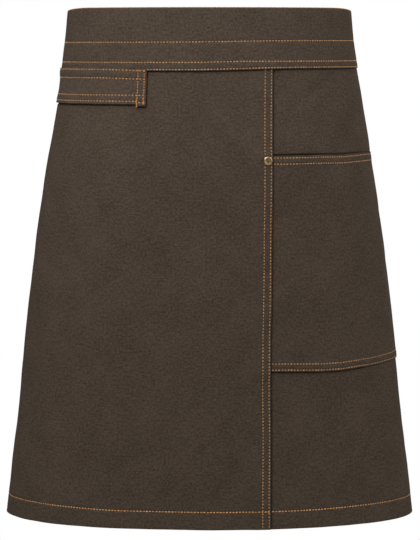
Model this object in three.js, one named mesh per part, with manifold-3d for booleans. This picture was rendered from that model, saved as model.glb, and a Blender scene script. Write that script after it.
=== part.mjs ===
// Waist apron, kept in its worn form and open where the body goes.
// Millimetres, +Z up, the front towards -Y, the picture's right towards +X.
// The origin is the middle of the waist, halfway up the waistband.

import * as THREE from "three";
import { mergeVertices } from "three/addons/utils/BufferGeometryUtils.js";
import Module from "manifold-3d";

const wasm = await Module();
wasm.setup();

// Cloth
const clothWall = 1.0; // one layer of twill
const layerGap = 0.3; // between two layers that lie on each other
const layerStep = clothWall + layerGap;

// Body form that the cloth lies on, as half sizes of its level sections
const apronLength = 557; // waistband's top edge to the hem
const waistHalfWidth = 152;
const waistHalfDepth = 108;
const hemHalfWidth = 223.5;
const hemHalfDepth = 130;
const foldDepth = 6; // the deepest fold, at the back edges

// Waistband
const bandHeight = 67;
const bandLength = 700; // from end to end round the waist
const bandDip = 6.5; // the top edge sits this much lower round the back
const tuckDepth = 14; // how far the panels reach up into the band

// Skirt panels
const hemSweep = 900; // along the hem, from back edge to back edge
const bandEndMargin = 3; // the band's end reaches this far past the panels
const seamAcross = 67; // from the middle of the front to the lapped edge
const lapWidth = 14; // the side panel's edge under the main panel
const hemFold = 19;
const sideHemFold = 12;
const climb = 12; // the run over which cloth climbs onto a lap

// Pocket
const pocketDrop = 157.4; // from the waistband's top edge to the pocket's mouth
const pocketHeight = 231;
const pocketWidth = 226; // from the lapped edge round to its free side
const pocketTuck = 9; // its edge under the main panel
const mouthGape = 3; // how far the mouth stands off the side panel
const gapeAcross = 70;
const gapeDown = 48;

// Towel loop
const loopWall = 1.4; // a folded strap, pressed flat
const loopWidth = 38;
const loopLength = 256;
const loopEndAcross = 66.3; // from the middle of the front to its sewn end
const loopCover = 2.2; // its top edge covers this much of the waistband
const loopBow = 15; // how far its slack stretch stands off, behind the side
const loopFlat = 178; // from the sewn end to where the slack begins
const loopFarEnd = 8; // sewn flat again at the far end

// Rivet
const rivetAcross = 63;
const rivetBelowMouth = 5.4;
const rivetHeadRadius = 4.8;
const rivetHeadHeight = 1.7;
const rivetShankRadius = 1.5;
const rivetBurrRadius = 4.2;
const rivetBurrHeight = 0.8;
const rivetClearance = 0.3;

// Ties
const tieWidth = 30;
const tieMiddle = 6; // height of the ties' middle line
const tieTuck = 16; // sewn this far into the waistband's end
const tieNeck = 18; // width where a tie goes into the knot
const knotHalfWidth = 14;
const knotHalfDepth = 6;
const knotHalfHeight = 15;
const knotRoundness = 3; // 2 is an ellipsoid, more is squarer
const tieEndLength = 262;
const tieEndWidth = 28;
const tieEndTop = 12; // width of a free end where it leaves the knot
const tieEndSpread = 16; // how far a free end's inner edge swings out from the middle

const colours = {
  cloth: { color: 0x4b4036, roughness: 0.93, metalness: 0 },
  strap: { color: 0x50453a, roughness: 0.93, metalness: 0 },
  brass: { color: 0x9a7a45, roughness: 0.38, metalness: 1 },
};

// Heights that follow from the sizes
const bandTop = bandHeight / 2;
const bandBottom = -bandHeight / 2;
const hemHeight = bandTop - apronLength;
const pocketTop = bandTop - pocketDrop;
const pocketBottom = pocketTop - pocketHeight;
const skirtLength = bandBottom - hemHeight;

// Faces of the layers, counted outwards from the band's inner face
const panelInner = layerStep;
const bandOuter = 3 * clothWall + 2 * layerGap;

// The form from waist to hem. drop is a share of the apron's length, width and depth are
// shares of the way from the waist's half sizes to the hem's.
const formTable = [
  { drop: 0.0, width: 0.0, depth: 0.0 },
  { drop: 0.06, width: 0.043, depth: 0.17 },
  { drop: 0.12, width: 0.108, depth: 0.36 },
  { drop: 0.2, width: 0.205, depth: 0.6 },
  { drop: 0.3, width: 0.337, depth: 0.84 },
  { drop: 0.4, width: 0.457, depth: 0.94 },
  { drop: 0.5, width: 0.561, depth: 0.98 },
  { drop: 0.6, width: 0.655, depth: 1.0 },
  { drop: 0.7, width: 0.732, depth: 1.0 },
  { drop: 0.8, width: 0.812, depth: 1.0 },
  { drop: 0.9, width: 0.909, depth: 1.0 },
  { drop: 1.0, width: 1.0, depth: 1.0 },
];

// Folds and broad dents. turn and reach are degrees round the form from the middle of the
// front, drop shares give where a fold starts and where it is full, depth is a share of
// foldDepth, outwards when positive.
const foldTable = [
  { turn: -136, reach: 15, start: 0.14, full: 1.0, depth: 1.0 },
  { turn: -116, reach: 11, start: 0.2, full: 1.0, depth: -0.5 },
  { turn: -74, reach: 13, start: 0.4, full: 1.0, depth: -0.22 },
  { turn: -40, reach: 20, start: 0.16, full: 0.42, depth: 0.3 },
  { turn: -12, reach: 17, start: 0.16, full: 0.4, depth: -0.28 },
  { turn: 113, reach: 10, start: 0.72, full: 1.0, depth: -0.35 },
  { turn: 134, reach: 15, start: 0.14, full: 1.0, depth: 0.9 },
];

const radians = THREE.MathUtils.degToRad;
const mix = THREE.MathUtils.lerp;

function smooth(from, to, value) {
  const share = THREE.MathUtils.clamp((value - from) / (to - from), 0, 1);
  return share * share * (3 - 2 * share);
}

function spread(count, from, to) {
  return Array.from({ length: count + 1 }, (_, i) => mix(from, to, i / count));
}

// A smooth curve through one column of the form table
function formShare(column, drop) {
  const rows = formTable;
  const at = THREE.MathUtils.clamp(drop, 0, 1);
  const found = rows.findIndex((row) => row.drop >= at);
  const i = Math.max(1, found);
  const slope = (k) => {
    const before = rows[Math.max(0, k - 1)];
    const after = rows[Math.min(rows.length - 1, k + 1)];
    return (after[column] - before[column]) / (after.drop - before.drop);
  };
  const span = rows[i].drop - rows[i - 1].drop;
  const t = (at - rows[i - 1].drop) / span;
  const start = rows[i - 1][column] * (2 * t ** 3 - 3 * t ** 2 + 1);
  const end = rows[i][column] * (3 * t ** 2 - 2 * t ** 3);
  const leave = slope(i - 1) * span * (t ** 3 - 2 * t ** 2 + t);
  const arrive = slope(i) * span * (t ** 3 - t ** 2);
  return start + end + leave + arrive;
}

function dropShare(height) {
  return (bandTop - height) / apronLength;
}

// The level section at a height: an ellipse and the arc length up to each of its steps
const arcStep = radians(1.5);
const arcSteps = 130;
const sections = new Map();

function sectionAt(height) {
  if (!sections.has(height)) {
    const halfWidth = mix(waistHalfWidth, hemHalfWidth, formShare("width", dropShare(height)));
    const halfDepth = mix(waistHalfDepth, hemHalfDepth, formShare("depth", dropShare(height)));
    const arcs = [0];
    for (let i = 1; i <= arcSteps; i++) {
      const turn = (i - 0.5) * arcStep;
      arcs.push(arcs[i - 1] + arcStep * Math.hypot(halfWidth * Math.cos(turn), halfDepth * Math.sin(turn)));
    }
    sections.set(height, { halfWidth, halfDepth, arcs });
  }
  return sections.get(height);
}

function turnAtArc(arc, height) {
  const { arcs } = sectionAt(height);
  const length = Math.min(Math.abs(arc), arcs[arcSteps]);
  const i = Math.max(1, arcs.findIndex((value) => value >= length));
  const share = (length - arcs[i - 1]) / (arcs[i] - arcs[i - 1]);
  return Math.sign(arc) * arcStep * (i - 1 + share);
}

function arcAtTurn(turn, height) {
  const { arcs } = sectionAt(height);
  const steps = Math.abs(turn) / arcStep;
  const i = Math.min(Math.floor(steps), arcSteps - 1);
  return Math.sign(turn) * mix(arcs[i], arcs[i + 1], steps - i);
}

// The turn at a distance across the front
function turnAcross(across, height) {
  return Math.asin(across / sectionAt(height).halfWidth);
}

function halfGirth(height) {
  return arcAtTurn(Math.PI, height);
}

function foldAt(turn, height) {
  let offset = 0;
  for (const fold of foldTable) {
    const away = (turn - radians(fold.turn)) / radians(fold.reach);
    if (Math.abs(away) < 1) {
      offset += fold.depth * foldDepth * (1 - away * away) ** 2 * smooth(fold.start, fold.full, dropShare(height));
    }
  }
  return offset;
}

// A point at a turn round the form and a height, some way out from its surface
function pointAt(turn, height, out) {
  const { halfWidth, halfDepth } = sectionAt(height);
  const normal = new THREE.Vector2(Math.sin(turn) / halfWidth, -Math.cos(turn) / halfDepth).normalize();
  const offset = out + foldAt(turn, height);
  return new THREE.Vector3(
    halfWidth * Math.sin(turn) + normal.x * offset,
    -halfDepth * Math.cos(turn) + normal.y * offset,
    height,
  );
}

// Closed wall between an outer and an inner grid of points
function wallBetween(outer, inner) {
  const across = outer.length;
  const along = outer[0].length;
  const corner = (face, i, j) => face * across * along + i * along + j;
  const index = [];
  const quad = (a, b, c, d) => index.push(a, b, c, a, c, d);
  for (let i = 0; i < across - 1; i++) {
    for (let j = 0; j < along - 1; j++) {
      quad(corner(0, i, j), corner(0, i, j + 1), corner(0, i + 1, j + 1), corner(0, i + 1, j));
      quad(corner(1, i, j), corner(1, i + 1, j), corner(1, i + 1, j + 1), corner(1, i, j + 1));
    }
    quad(corner(0, i, 0), corner(0, i + 1, 0), corner(1, i + 1, 0), corner(1, i, 0));
    quad(corner(0, i + 1, along - 1), corner(0, i, along - 1), corner(1, i, along - 1), corner(1, i + 1, along - 1));
  }
  for (let j = 0; j < along - 1; j++) {
    quad(corner(0, 0, j + 1), corner(0, 0, j), corner(1, 0, j), corner(1, 0, j + 1));
    quad(corner(0, across - 1, j), corner(0, across - 1, j + 1), corner(1, across - 1, j + 1), corner(1, across - 1, j));
  }
  const points = [...outer.flat(), ...inner.flat()];
  return facingOut(new THREE.BufferGeometry().setFromPoints(points).setIndex(index));
}

// Turns a closed body's faces outwards
function facingOut(geometry) {
  const at = geometry.getAttribute("position");
  const index = geometry.getIndex().array;
  const [a, b, c] = [new THREE.Vector3(), new THREE.Vector3(), new THREE.Vector3()];
  let volume = 0;
  for (let i = 0; i < index.length; i += 3) {
    a.fromBufferAttribute(at, index[i]);
    b.fromBufferAttribute(at, index[i + 1]);
    c.fromBufferAttribute(at, index[i + 2]);
    volume += a.dot(b.cross(c));
  }
  if (volume < 0) geometry.setIndex(Array.from(index).reverse());
  geometry.computeVertexNormals();
  return geometry;
}

// A sheet: place gives turn and height for a column and a row, face its inner face, wall its
// thickness there
function sheet(columns, rows, place, face, wall) {
  const grid = (outward) => columns.map((column) => rows.map((row) => {
    const { turn, height } = place(column, row);
    return pointAt(turn, height, face(turn, height) + outward * wall(turn, height));
  }));
  return wallBetween(grid(1), grid(0));
}

// Columns of a panel are turns that depend on the height
function panelSheet(columns, rows, face, wall) {
  return sheet(columns, rows, (column, row) => ({ turn: column(row), height: row }), face, wall);
}

// Columns evenly spaced in turn between two others
function columnsBetween(count, from, to) {
  return spread(count, 0, 1).map((share) => (height) => mix(from(height), to(height), share));
}

function uniqueHeights(...lists) {
  return [...new Set(lists.flat())].sort((a, b) => b - a);
}

// Distance across the front, so that a lap can be measured from the seam
function acrossAt(turn, height) {
  return Math.abs(turn) < Math.PI / 2 ? sectionAt(height).halfWidth * Math.sin(turn) : Math.sign(turn) * Infinity;
}

// Layers of cloth under the main panel's lapped edge: the side panel, and the pocket on it
const foldStep = 0.3; // a folded edge starts within this distance
const zoneBlend = 10;
const zoneMargin = 1;

function layersUnderLap(height) {
  const above = smooth(pocketTop + zoneMargin + zoneBlend, pocketTop + zoneMargin, height);
  const below = smooth(pocketBottom - zoneMargin - zoneBlend, pocketBottom - zoneMargin, height);
  return 1 + above * below;
}

function lapRise(turn, height) {
  const edge = seamAcross - lapWidth - zoneMargin;
  return layerStep * layersUnderLap(height) * smooth(edge - climb, edge, acrossAt(turn, height));
}

// Skirt panels
const seamEdge = (height) => turnAcross(seamAcross, height);
const lapEdge = (height) => turnAcross(seamAcross - lapWidth, height);

function backArc(height) {
  const down = THREE.MathUtils.clamp((bandBottom - height) / skirtLength, 0, 1);
  return mix(bandLength / 2 - bandEndMargin, hemSweep / 2, down);
}

// A column some way in from a back edge, side -1 or 1
function fromBack(side, inset) {
  return (height) => side * turnAtArc(backArc(height) - inset, height);
}

const panelTop = bandBottom + tuckDepth;
const hemFoldTop = hemHeight + hemFold;
const skirtRows = uniqueHeights(
  [panelTop, bandBottom - layerGap, bandBottom - layerGap - foldStep],
  spread(2, bandBottom - 26, pocketTop + zoneMargin + zoneBlend),
  [pocketTop + zoneMargin + zoneBlend / 2, pocketTop + zoneMargin],
  spread(6, pocketTop - 12, pocketBottom - zoneMargin),
  [pocketBottom - zoneMargin - zoneBlend / 2, pocketBottom - zoneMargin - zoneBlend],
  spread(3, pocketBottom - zoneMargin - zoneBlend - 30, hemFoldTop + foldStep),
  [hemFoldTop - foldStep, hemHeight],
);

// Below the band the hem and the back edge are folded in once, so the wall is double there
function foldedWall(turn, height) {
  const fromEdge = backArc(height) - Math.abs(arcAtTurn(turn, height));
  const atEdge = fromEdge < sideHemFold && height < bandBottom - layerGap - foldStep / 2;
  return height < hemFoldTop || atEdge ? 1 : 0;
}

function panelFace(turn, height) {
  return panelInner - clothWall * foldedWall(turn, height);
}

// The side panel's own hem goes on under the lap, so the main panel's folded hem stops short
function mainPanel() {
  const climbEdge = (height) => turnAcross(seamAcross - lapWidth - climb - 2 * zoneMargin, height);
  const risen = (height) => turnAcross(seamAcross - lapWidth - zoneMargin, height);
  const columns = [
    fromBack(-1, 0),
    fromBack(-1, sideHemFold - foldStep),
    ...columnsBetween(34, fromBack(-1, sideHemFold + foldStep), climbEdge),
    ...columnsBetween(3, climbEdge, risen).slice(1),
    seamEdge,
  ];
  const single = (turn, height) => acrossAt(turn, height) > seamAcross - lapWidth - climb - 1.5 * zoneMargin;
  const face = (turn, height) =>
    (single(turn, height) ? panelInner : panelFace(turn, height)) + lapRise(turn, height);
  const wall = (turn, height) =>
    clothWall * (1 + (single(turn, height) ? 0 : foldedWall(turn, height)));
  return panelSheet(columns, skirtRows, face, wall);
}

function sidePanel() {
  const columns = [
    ...columnsBetween(24, lapEdge, fromBack(1, sideHemFold + foldStep)),
    fromBack(1, sideHemFold - foldStep),
    fromBack(1, 0),
  ];
  const wall = (turn, height) => clothWall * (1 + foldedWall(turn, height));
  return panelSheet(columns, skirtRows, panelFace, wall);
}

// Pocket
function gapeAt(turn, height) {
  const along = THREE.MathUtils.clamp((acrossAt(turn, height) - seamAcross) / gapeAcross, 0, 1);
  const peak = 27 / 4; // makes the greatest value of the next product 1
  const sideways = peak * along * (1 - along) ** 2;
  return mouthGape * sideways * smooth(pocketTop - gapeDown, pocketTop, height);
}

function pocketPatch() {
  const tucked = (height) => turnAcross(seamAcross - pocketTuck, height);
  const freeSide = (height) => turnAtArc(arcAtTurn(seamEdge(height), height) + pocketWidth, height);
  const columns = [tucked, ...columnsBetween(19, seamEdge, freeSide)];
  const rows = uniqueHeights(
    spread(3, pocketTop, pocketTop - gapeDown),
    spread(7, pocketTop - gapeDown, pocketBottom),
  );
  const face = (turn, height) => panelInner + layerStep + gapeAt(turn, height);
  return panelSheet(columns, rows, face, () => clothWall);
}

// Waistband
function dipAt(turn) {
  return bandDip * smooth(radians(58), radians(120), Math.abs(turn));
}

// How much the band swells over the lapped seam in its slot
function bandSwell(turn, share) {
  const across = acrossAt(turn, bandBottom);
  const left = seamAcross - lapWidth - zoneMargin;
  const right = seamAcross + zoneMargin;
  const sideways = smooth(left - climb, left, across) * smooth(right + climb, right, across);
  const tucked = (tuckDepth + zoneMargin) / bandHeight;
  return layerStep * sideways * smooth(0.6, tucked, share);
}

function waistband() {
  const endTurn = (side) => side * turnAtArc(bandLength / 2, bandBottom);
  const left = turnAcross(seamAcross - lapWidth - climb - zoneMargin, bandBottom);
  const right = turnAcross(seamAcross + climb + zoneMargin, bandBottom);
  const turns = [
    ...spread(30, endTurn(-1), left),
    ...spread(6, left, right).slice(1),
    ...spread(22, right, endTurn(1)).slice(1),
  ];
  // Upright stretches as shares of the height, then the fold over the top edge
  const foldRadius = bandOuter / 2;
  const rise = [0, (tuckDepth + zoneMargin) / bandHeight, 0.6];
  const foldAngles = spread(3, 0, 180).map(radians);
  const face = (turn, wall) => {
    const top = bandTop - dipAt(turn) - foldRadius;
    const radius = foldRadius - wall;
    const upright = (share, out) => pointAt(turn, mix(bandBottom, top, share), out);
    return [
      ...rise.map((share) => upright(share, bandOuter - wall + bandSwell(turn, share))),
      ...foldAngles.map((angle) =>
        pointAt(turn, top + radius * Math.sin(angle), foldRadius + radius * Math.cos(angle))),
      ...rise.toReversed().map((share) => upright(share, wall)),
    ];
  };
  return wallBetween(turns.map((turn) => face(turn, 0)), turns.map((turn) => face(turn, clothWall)));
}

// Towel loop, sewn down at both ends, flat in front and slack behind the side. Its columns
// are set out along its middle line.
function towelLoop() {
  const top = bandBottom + loopCover;
  const bottom = top - loopWidth;
  const middle = mix(top, bottom, 0.5);
  const sewnEnd = arcAtTurn(turnAcross(loopEndAcross, middle), middle);
  const columns = [
    ...spread(18, 0, loopFlat),
    ...spread(8, loopFlat, loopLength - loopFarEnd).slice(1),
    loopLength,
  ];
  const rows = [top, bandBottom - layerGap, middle, bottom];
  const place = (column, height) => ({ turn: -turnAtArc(sewnEnd + column, middle), height });
  const onPanel = panelInner + layerStep;
  const onBand = bandOuter + layerGap;
  const face = (turn, height) => {
    const along = -arcAtTurn(turn, middle) - sewnEnd;
    const slack = THREE.MathUtils.clamp((along - loopFlat) / (loopLength - loopFarEnd - loopFlat), 0, 1);
    const lie = mix(onPanel, onBand, smooth(middle, bandBottom - layerGap, height));
    return lie + loopBow * Math.sin(Math.PI * slack) ** 2;
  };
  return sheet(columns, rows, place, face, () => loopWall);
}

// Ties from the band's ends round the back to the knot
const knotOut = layerGap + knotHalfDepth;

function tie(side) {
  const columns = spread(12, 0, 1);
  const rows = [1, 0, -1];
  const reach = (share, height) => {
    const start = bandLength / 2 - tieTuck;
    return mix(start, halfGirth(height) - knotHalfWidth - layerGap, share);
  };
  const place = (share, row) => {
    const height = tieMiddle + (row * mix(tieWidth, tieNeck, smooth(0.45, 1, share))) / 2;
    return { turn: side * turnAtArc(reach(share, height), height), height };
  };
  const face = (turn, height) => {
    const start = bandLength / 2 + zoneMargin;
    const end = halfGirth(height) - knotHalfWidth;
    const arc = Math.abs(arcAtTurn(turn, height));
    return mix(panelInner, knotOut - clothWall / 2, smooth(mix(start, end, 0.3), end, arc));
  };
  return sheet(columns, rows, place, face, () => clothWall);
}

// A free end hangs from under the knot
function tieEnd(side) {
  const top = tieMiddle - knotHalfHeight - layerGap;
  const rows = spread(16, 0, 1);
  const columns = [-1, 0, 1];
  const place = (column, share) => {
    const height = top - tieEndLength * share;
    const width = mix(tieEndTop, tieEndWidth, smooth(0, 0.3, share));
    const middle = width / 2 + layerGap + tieEndSpread * smooth(0, 1, share);
    return { turn: side * turnAtArc(halfGirth(height) - middle - (column * width) / 2, height), height };
  };
  const face = (turn, height) => {
    const share = (top - height) / tieEndLength;
    return mix(knotOut - clothWall / 2, layerGap, smooth(0, 0.35, share));
  };
  return sheet(columns, rows, place, face, () => clothWall);
}

// Rounded block: rings of a superellipsoid between two poles
function roundedBlock(halfX, halfY, halfZ, roundness) {
  const power = 2 / roundness;
  const bend = (value) => Math.sign(value) * Math.abs(value) ** power;
  const sides = 20;
  const lifts = spread(10, -90, 90).slice(1, -1).map(radians);
  const points = lifts.flatMap((lift) => spread(sides, 0, 360).slice(0, -1).map(radians).map((turn) =>
    new THREE.Vector3(
      halfX * bend(Math.cos(lift)) * bend(Math.cos(turn)),
      halfY * bend(Math.cos(lift)) * bend(Math.sin(turn)),
      halfZ * bend(Math.sin(lift)),
    )));
  const bottomPole = points.push(new THREE.Vector3(0, 0, -halfZ)) - 1;
  const topPole = points.push(new THREE.Vector3(0, 0, halfZ)) - 1;
  const index = [];
  const last = (lifts.length - 1) * sides;
  for (let k = 0; k < sides; k++) {
    const next = (k + 1) % sides;
    index.push(bottomPole, next, k, topPole, last + k, last + next);
    for (let ring = 0; ring < last; ring += sides) {
      index.push(ring + k, ring + next, ring + sides + next, ring + k, ring + sides + next, ring + sides + k);
    }
  }
  return facingOut(new THREE.BufferGeometry().setFromPoints(points).setIndex(index));
}

// Rivet through the lap, the pocket and the side panel, its axis square to the cloth
const rivetHeight = pocketTop - rivetBelowMouth;
const rivetTurn = turnAcross(rivetAcross, rivetHeight);
const rivetSeat = panelInner + 2 * layerStep + clothWall + rivetClearance;
const rivetBack = panelInner - rivetClearance;
const rivetFrame = (() => {
  const at = pointAt(rivetTurn, rivetHeight, 0);
  const sideways = pointAt(rivetTurn + arcStep, rivetHeight, 0)
    .sub(pointAt(rivetTurn - arcStep, rivetHeight, 0)).normalize();
  const upwards = pointAt(rivetTurn, rivetHeight + rivetHeadRadius, 0)
    .sub(pointAt(rivetTurn, rivetHeight - rivetHeadRadius, 0));
  const outwards = new THREE.Vector3().crossVectors(sideways, upwards).normalize();
  // A turned profile has its axis along its own Y
  const third = new THREE.Vector3().crossVectors(sideways, outwards);
  return new THREE.Matrix4().makeBasis(sideways, outwards, third).setPosition(at);
})();

function rivet() {
  const top = rivetSeat + rivetHeadHeight;
  const dish = rivetHeadHeight * 0.35;
  // Radius and distance out from the form, from the burr's back to the nipple in the head
  const profile = [
    [0, rivetBack - rivetBurrHeight],
    [rivetBurrRadius, rivetBack - rivetBurrHeight],
    [rivetBurrRadius, rivetBack],
    [rivetShankRadius, rivetBack],
    [rivetShankRadius, rivetSeat],
    [rivetHeadRadius, rivetSeat],
    [rivetHeadRadius, rivetSeat + rivetHeadHeight * 0.45],
    [rivetHeadRadius * 0.88, top],
    [rivetHeadRadius * 0.7, top],
    [rivetHeadRadius * 0.5, top - dish],
    [rivetHeadRadius * 0.3, top - dish],
    [rivetHeadRadius * 0.2, top - dish * 0.2],
    [0, top],
  ].map(([radius, out]) => new THREE.Vector2(radius, out));
  const turned = mergedPositions(new THREE.LatheGeometry(profile, 20));
  return facingOut(turned.applyMatrix4(rivetFrame));
}

function rivetHole() {
  const radius = rivetShankRadius + rivetClearance;
  const ends = 2;
  const length = rivetSeat - rivetBack + 2 * ends;
  const hole = new THREE.CylinderGeometry(radius, radius, length, 20);
  hole.translate(0, (rivetSeat + rivetBack) / 2, 0);
  return facingOut(mergedPositions(hole).applyMatrix4(rivetFrame));
}

// Boolean cut
function mergedPositions(geometry) {
  const bare = geometry.clone();
  bare.deleteAttribute("normal");
  bare.deleteAttribute("uv");
  const merged = mergeVertices(bare, 1e-4);
  const index = merged.getIndex().array;
  const kept = [];
  for (let i = 0; i < index.length; i += 3) {
    const [a, b, c] = [index[i], index[i + 1], index[i + 2]];
    if (a !== b && b !== c && c !== a) kept.push(a, b, c);
  }
  return merged.setIndex(kept);
}

function solidOf(geometry) {
  const merged = mergedPositions(geometry);
  return new wasm.Manifold(new wasm.Mesh({
    numProp: 3,
    vertProperties: new Float32Array(merged.getAttribute("position").array),
    triVerts: new Uint32Array(merged.getIndex().array),
  }));
}

function cutFrom(geometry, tool) {
  const mesh = solidOf(geometry).subtract(solidOf(tool)).getMesh();
  const cut = new THREE.BufferGeometry();
  cut.setAttribute("position", new THREE.BufferAttribute(new Float32Array(mesh.vertProperties), 3));
  cut.setIndex(Array.from(mesh.triVerts));
  cut.computeVertexNormals();
  return cut;
}

function piece(name, geometry, finish) {
  const mesh = new THREE.Mesh(geometry, new THREE.MeshStandardMaterial(colours[finish]));
  mesh.name = name;
  return mesh;
}

const knot = piece("tie_knot", roundedBlock(knotHalfWidth, knotHalfDepth, knotHalfHeight, knotRoundness), "strap");
knot.position.copy(pointAt(Math.PI, tieMiddle, knotOut));

const hole = rivetHole();
const skirt = new THREE.Group();
skirt.add(
  piece("main_panel", cutFrom(mainPanel(), hole), "cloth"),
  piece("side_panel", cutFrom(sidePanel(), hole), "cloth"),
  piece("pocket", cutFrom(pocketPatch(), hole), "cloth"),
  piece("rivet", rivet(), "brass"),
);

const waist = new THREE.Group();
waist.add(
  piece("waistband", waistband(), "cloth"),
  piece("towel_loop", towelLoop(), "strap"),
  piece("tie_left", tie(-1), "strap"),
  piece("tie_right", tie(1), "strap"),
  knot,
  piece("tie_end_left", tieEnd(-1), "strap"),
  piece("tie_end_right", tieEnd(1), "strap"),
);

const apron = new THREE.Group();
apron.add(waist, skirt);

export default apron;
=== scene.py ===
import math

import bpy
import numpy as np
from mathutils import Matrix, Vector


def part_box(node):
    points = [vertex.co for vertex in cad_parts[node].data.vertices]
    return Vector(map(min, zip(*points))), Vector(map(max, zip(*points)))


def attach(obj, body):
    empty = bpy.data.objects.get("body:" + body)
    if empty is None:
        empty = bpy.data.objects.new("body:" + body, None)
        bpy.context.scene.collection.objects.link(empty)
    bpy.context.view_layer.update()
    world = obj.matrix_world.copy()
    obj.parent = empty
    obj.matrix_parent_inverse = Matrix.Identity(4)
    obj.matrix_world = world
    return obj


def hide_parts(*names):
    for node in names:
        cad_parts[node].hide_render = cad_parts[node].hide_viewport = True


# Lengths here are millimetres in the part's own frame, made metres when a mesh is made.
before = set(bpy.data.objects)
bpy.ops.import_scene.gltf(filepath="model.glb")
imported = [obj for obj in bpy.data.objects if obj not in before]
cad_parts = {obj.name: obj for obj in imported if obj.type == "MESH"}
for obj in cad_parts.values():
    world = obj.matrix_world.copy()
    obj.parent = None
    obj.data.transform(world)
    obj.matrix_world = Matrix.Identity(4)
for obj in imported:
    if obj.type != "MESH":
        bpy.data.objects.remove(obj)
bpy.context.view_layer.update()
rng = np.random.default_rng(20)


def say(stage):
    print("scene:", stage, flush=True)


# The lowest and the highest corner of a node, in millimetres
def boxOf(node):
    low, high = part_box(node)
    return np.array(low) * 1000, np.array(high) * 1000


# Cloth: one layer, the gap between layers, and the size of a mesh cell
cloth = {"wall": 1.0, "gap": 0.3, "cell": 2.8}
layerStep = cloth["wall"] + cloth["gap"]

# The form that the cloth lies on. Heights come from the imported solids.
form = {"waistWidth": 152, "waistDepth": 108, "hemWidth": 223.5, "hemDepth": 130, "foldDepth": 6}
bandBottom, bandTop = boxOf("waistband")[0][2], boxOf("waistband")[1][2]
hemHeight = boxOf("main_panel")[0][2]
pocketBottom, pocketTop = boxOf("pocket")[0][2], boxOf("pocket")[1][2]
loopBottom, loopTop = boxOf("towel_loop")[0][2], boxOf("towel_loop")[1][2]
apronLength = bandTop - hemHeight
say(f"loaded, apron {apronLength:.1f} mm long")

# drop from the top edge, then width and depth from waist to hem, all as shares
formTable = np.array([
    (0.00, 0.000, 0.00),
    (0.06, 0.043, 0.17),
    (0.12, 0.108, 0.36),
    (0.20, 0.205, 0.60),
    (0.30, 0.337, 0.84),
    (0.40, 0.457, 0.94),
    (0.50, 0.561, 0.98),
    (0.60, 0.655, 1.00),
    (0.70, 0.732, 1.00),
    (0.80, 0.812, 1.00),
    (0.90, 0.909, 1.00),
    (1.00, 1.000, 1.00),
])

# turn and reach in degrees, drop shares where the fold starts and is full, share of foldDepth
foldTable = [
    (-136, 15, 0.14, 1.00, 1.00),
    (-116, 11, 0.20, 1.00, -0.50),
    (-74, 13, 0.40, 1.00, -0.22),
    (-40, 20, 0.16, 0.42, 0.30),
    (-12, 17, 0.16, 0.40, -0.28),
    (113, 10, 0.72, 1.00, -0.35),
    (134, 15, 0.14, 1.00, 0.90),
]

# Soft creases: along the front, height, direction in degrees, half length, half width, rise
creaseTable = [
    (-120, -312, -63, 62, 9, 0.7),
    (-128, -436, 62, 60, 14, -0.8),
    (34, -452, 58, 40, 9, -0.9),
    (52, -440, 60, 46, 10, 0.6),
    (76, -262, 42, 16, 4, -0.5),
    (84, -270, 42, 18, 5, 0.4),
    (118, -54, 32, 34, 6, -0.6),
    (128, -62, 30, 34, 7, 0.4),
    (-4, -15, 64, 14, 4, 0.35),
    (-62, -150, 84, 58, 13, -0.5),
    (150, -420, 78, 60, 14, 0.8),
    (186, -300, 84, 80, 12, 0.6),
    (-196, -330, -84, 90, 12, 0.6),
    (110, -470, 74, 36, 10, 0.5),
    (-205, -52, 0, 45, 24, -1.0),
    (205, -60, 0, 60, 28, 1.3),
    (212, -195, 0, 80, 60, 0.2),
    (216, -382, 0, 80, 34, 0.8),
    (-213, -290, 0, 80, 85, 0.45),
    (222, -104, 0, 46, 26, 0.9),
    (20, -205, -12, 66, 42, -2.2),
    (-70, -250, -20, 60, 40, -1.4),
]


# a at share 0 and b at share 1, a straight line between
def mix(a, b, share):
    return a + (b - a) * share


# 0 at start and 1 at end, with 3 t^2 - 2 t^3 between
def smooth(start, end, value):
    share = np.clip((value - start) / (end - start), 0, 1)
    return share * share * (3 - 2 * share)


# Cubic Hermite through one column of the form table
def formShare(column, drop):
    rows, values = formTable[:, 0], formTable[:, column]
    slope = np.empty(len(rows))
    slope[1:-1] = (values[2:] - values[:-2]) / (rows[2:] - rows[:-2])
    slope[0] = (values[1] - values[0]) / (rows[1] - rows[0])
    slope[-1] = (values[-1] - values[-2]) / (rows[-1] - rows[-2])
    at = np.clip(drop, 0, 1)
    i = np.clip(np.searchsorted(rows, at), 1, len(rows) - 1)
    span = rows[i] - rows[i - 1]
    t = (at - rows[i - 1]) / span
    start = values[i - 1] * (2 * t**3 - 3 * t**2 + 1)
    end = values[i] * (3 * t**2 - 2 * t**3)
    leave = slope[i - 1] * span * (t**3 - 2 * t**2 + t)
    arrive = slope[i] * span * (t**3 - t**2)
    return start + end + leave + arrive


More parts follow.
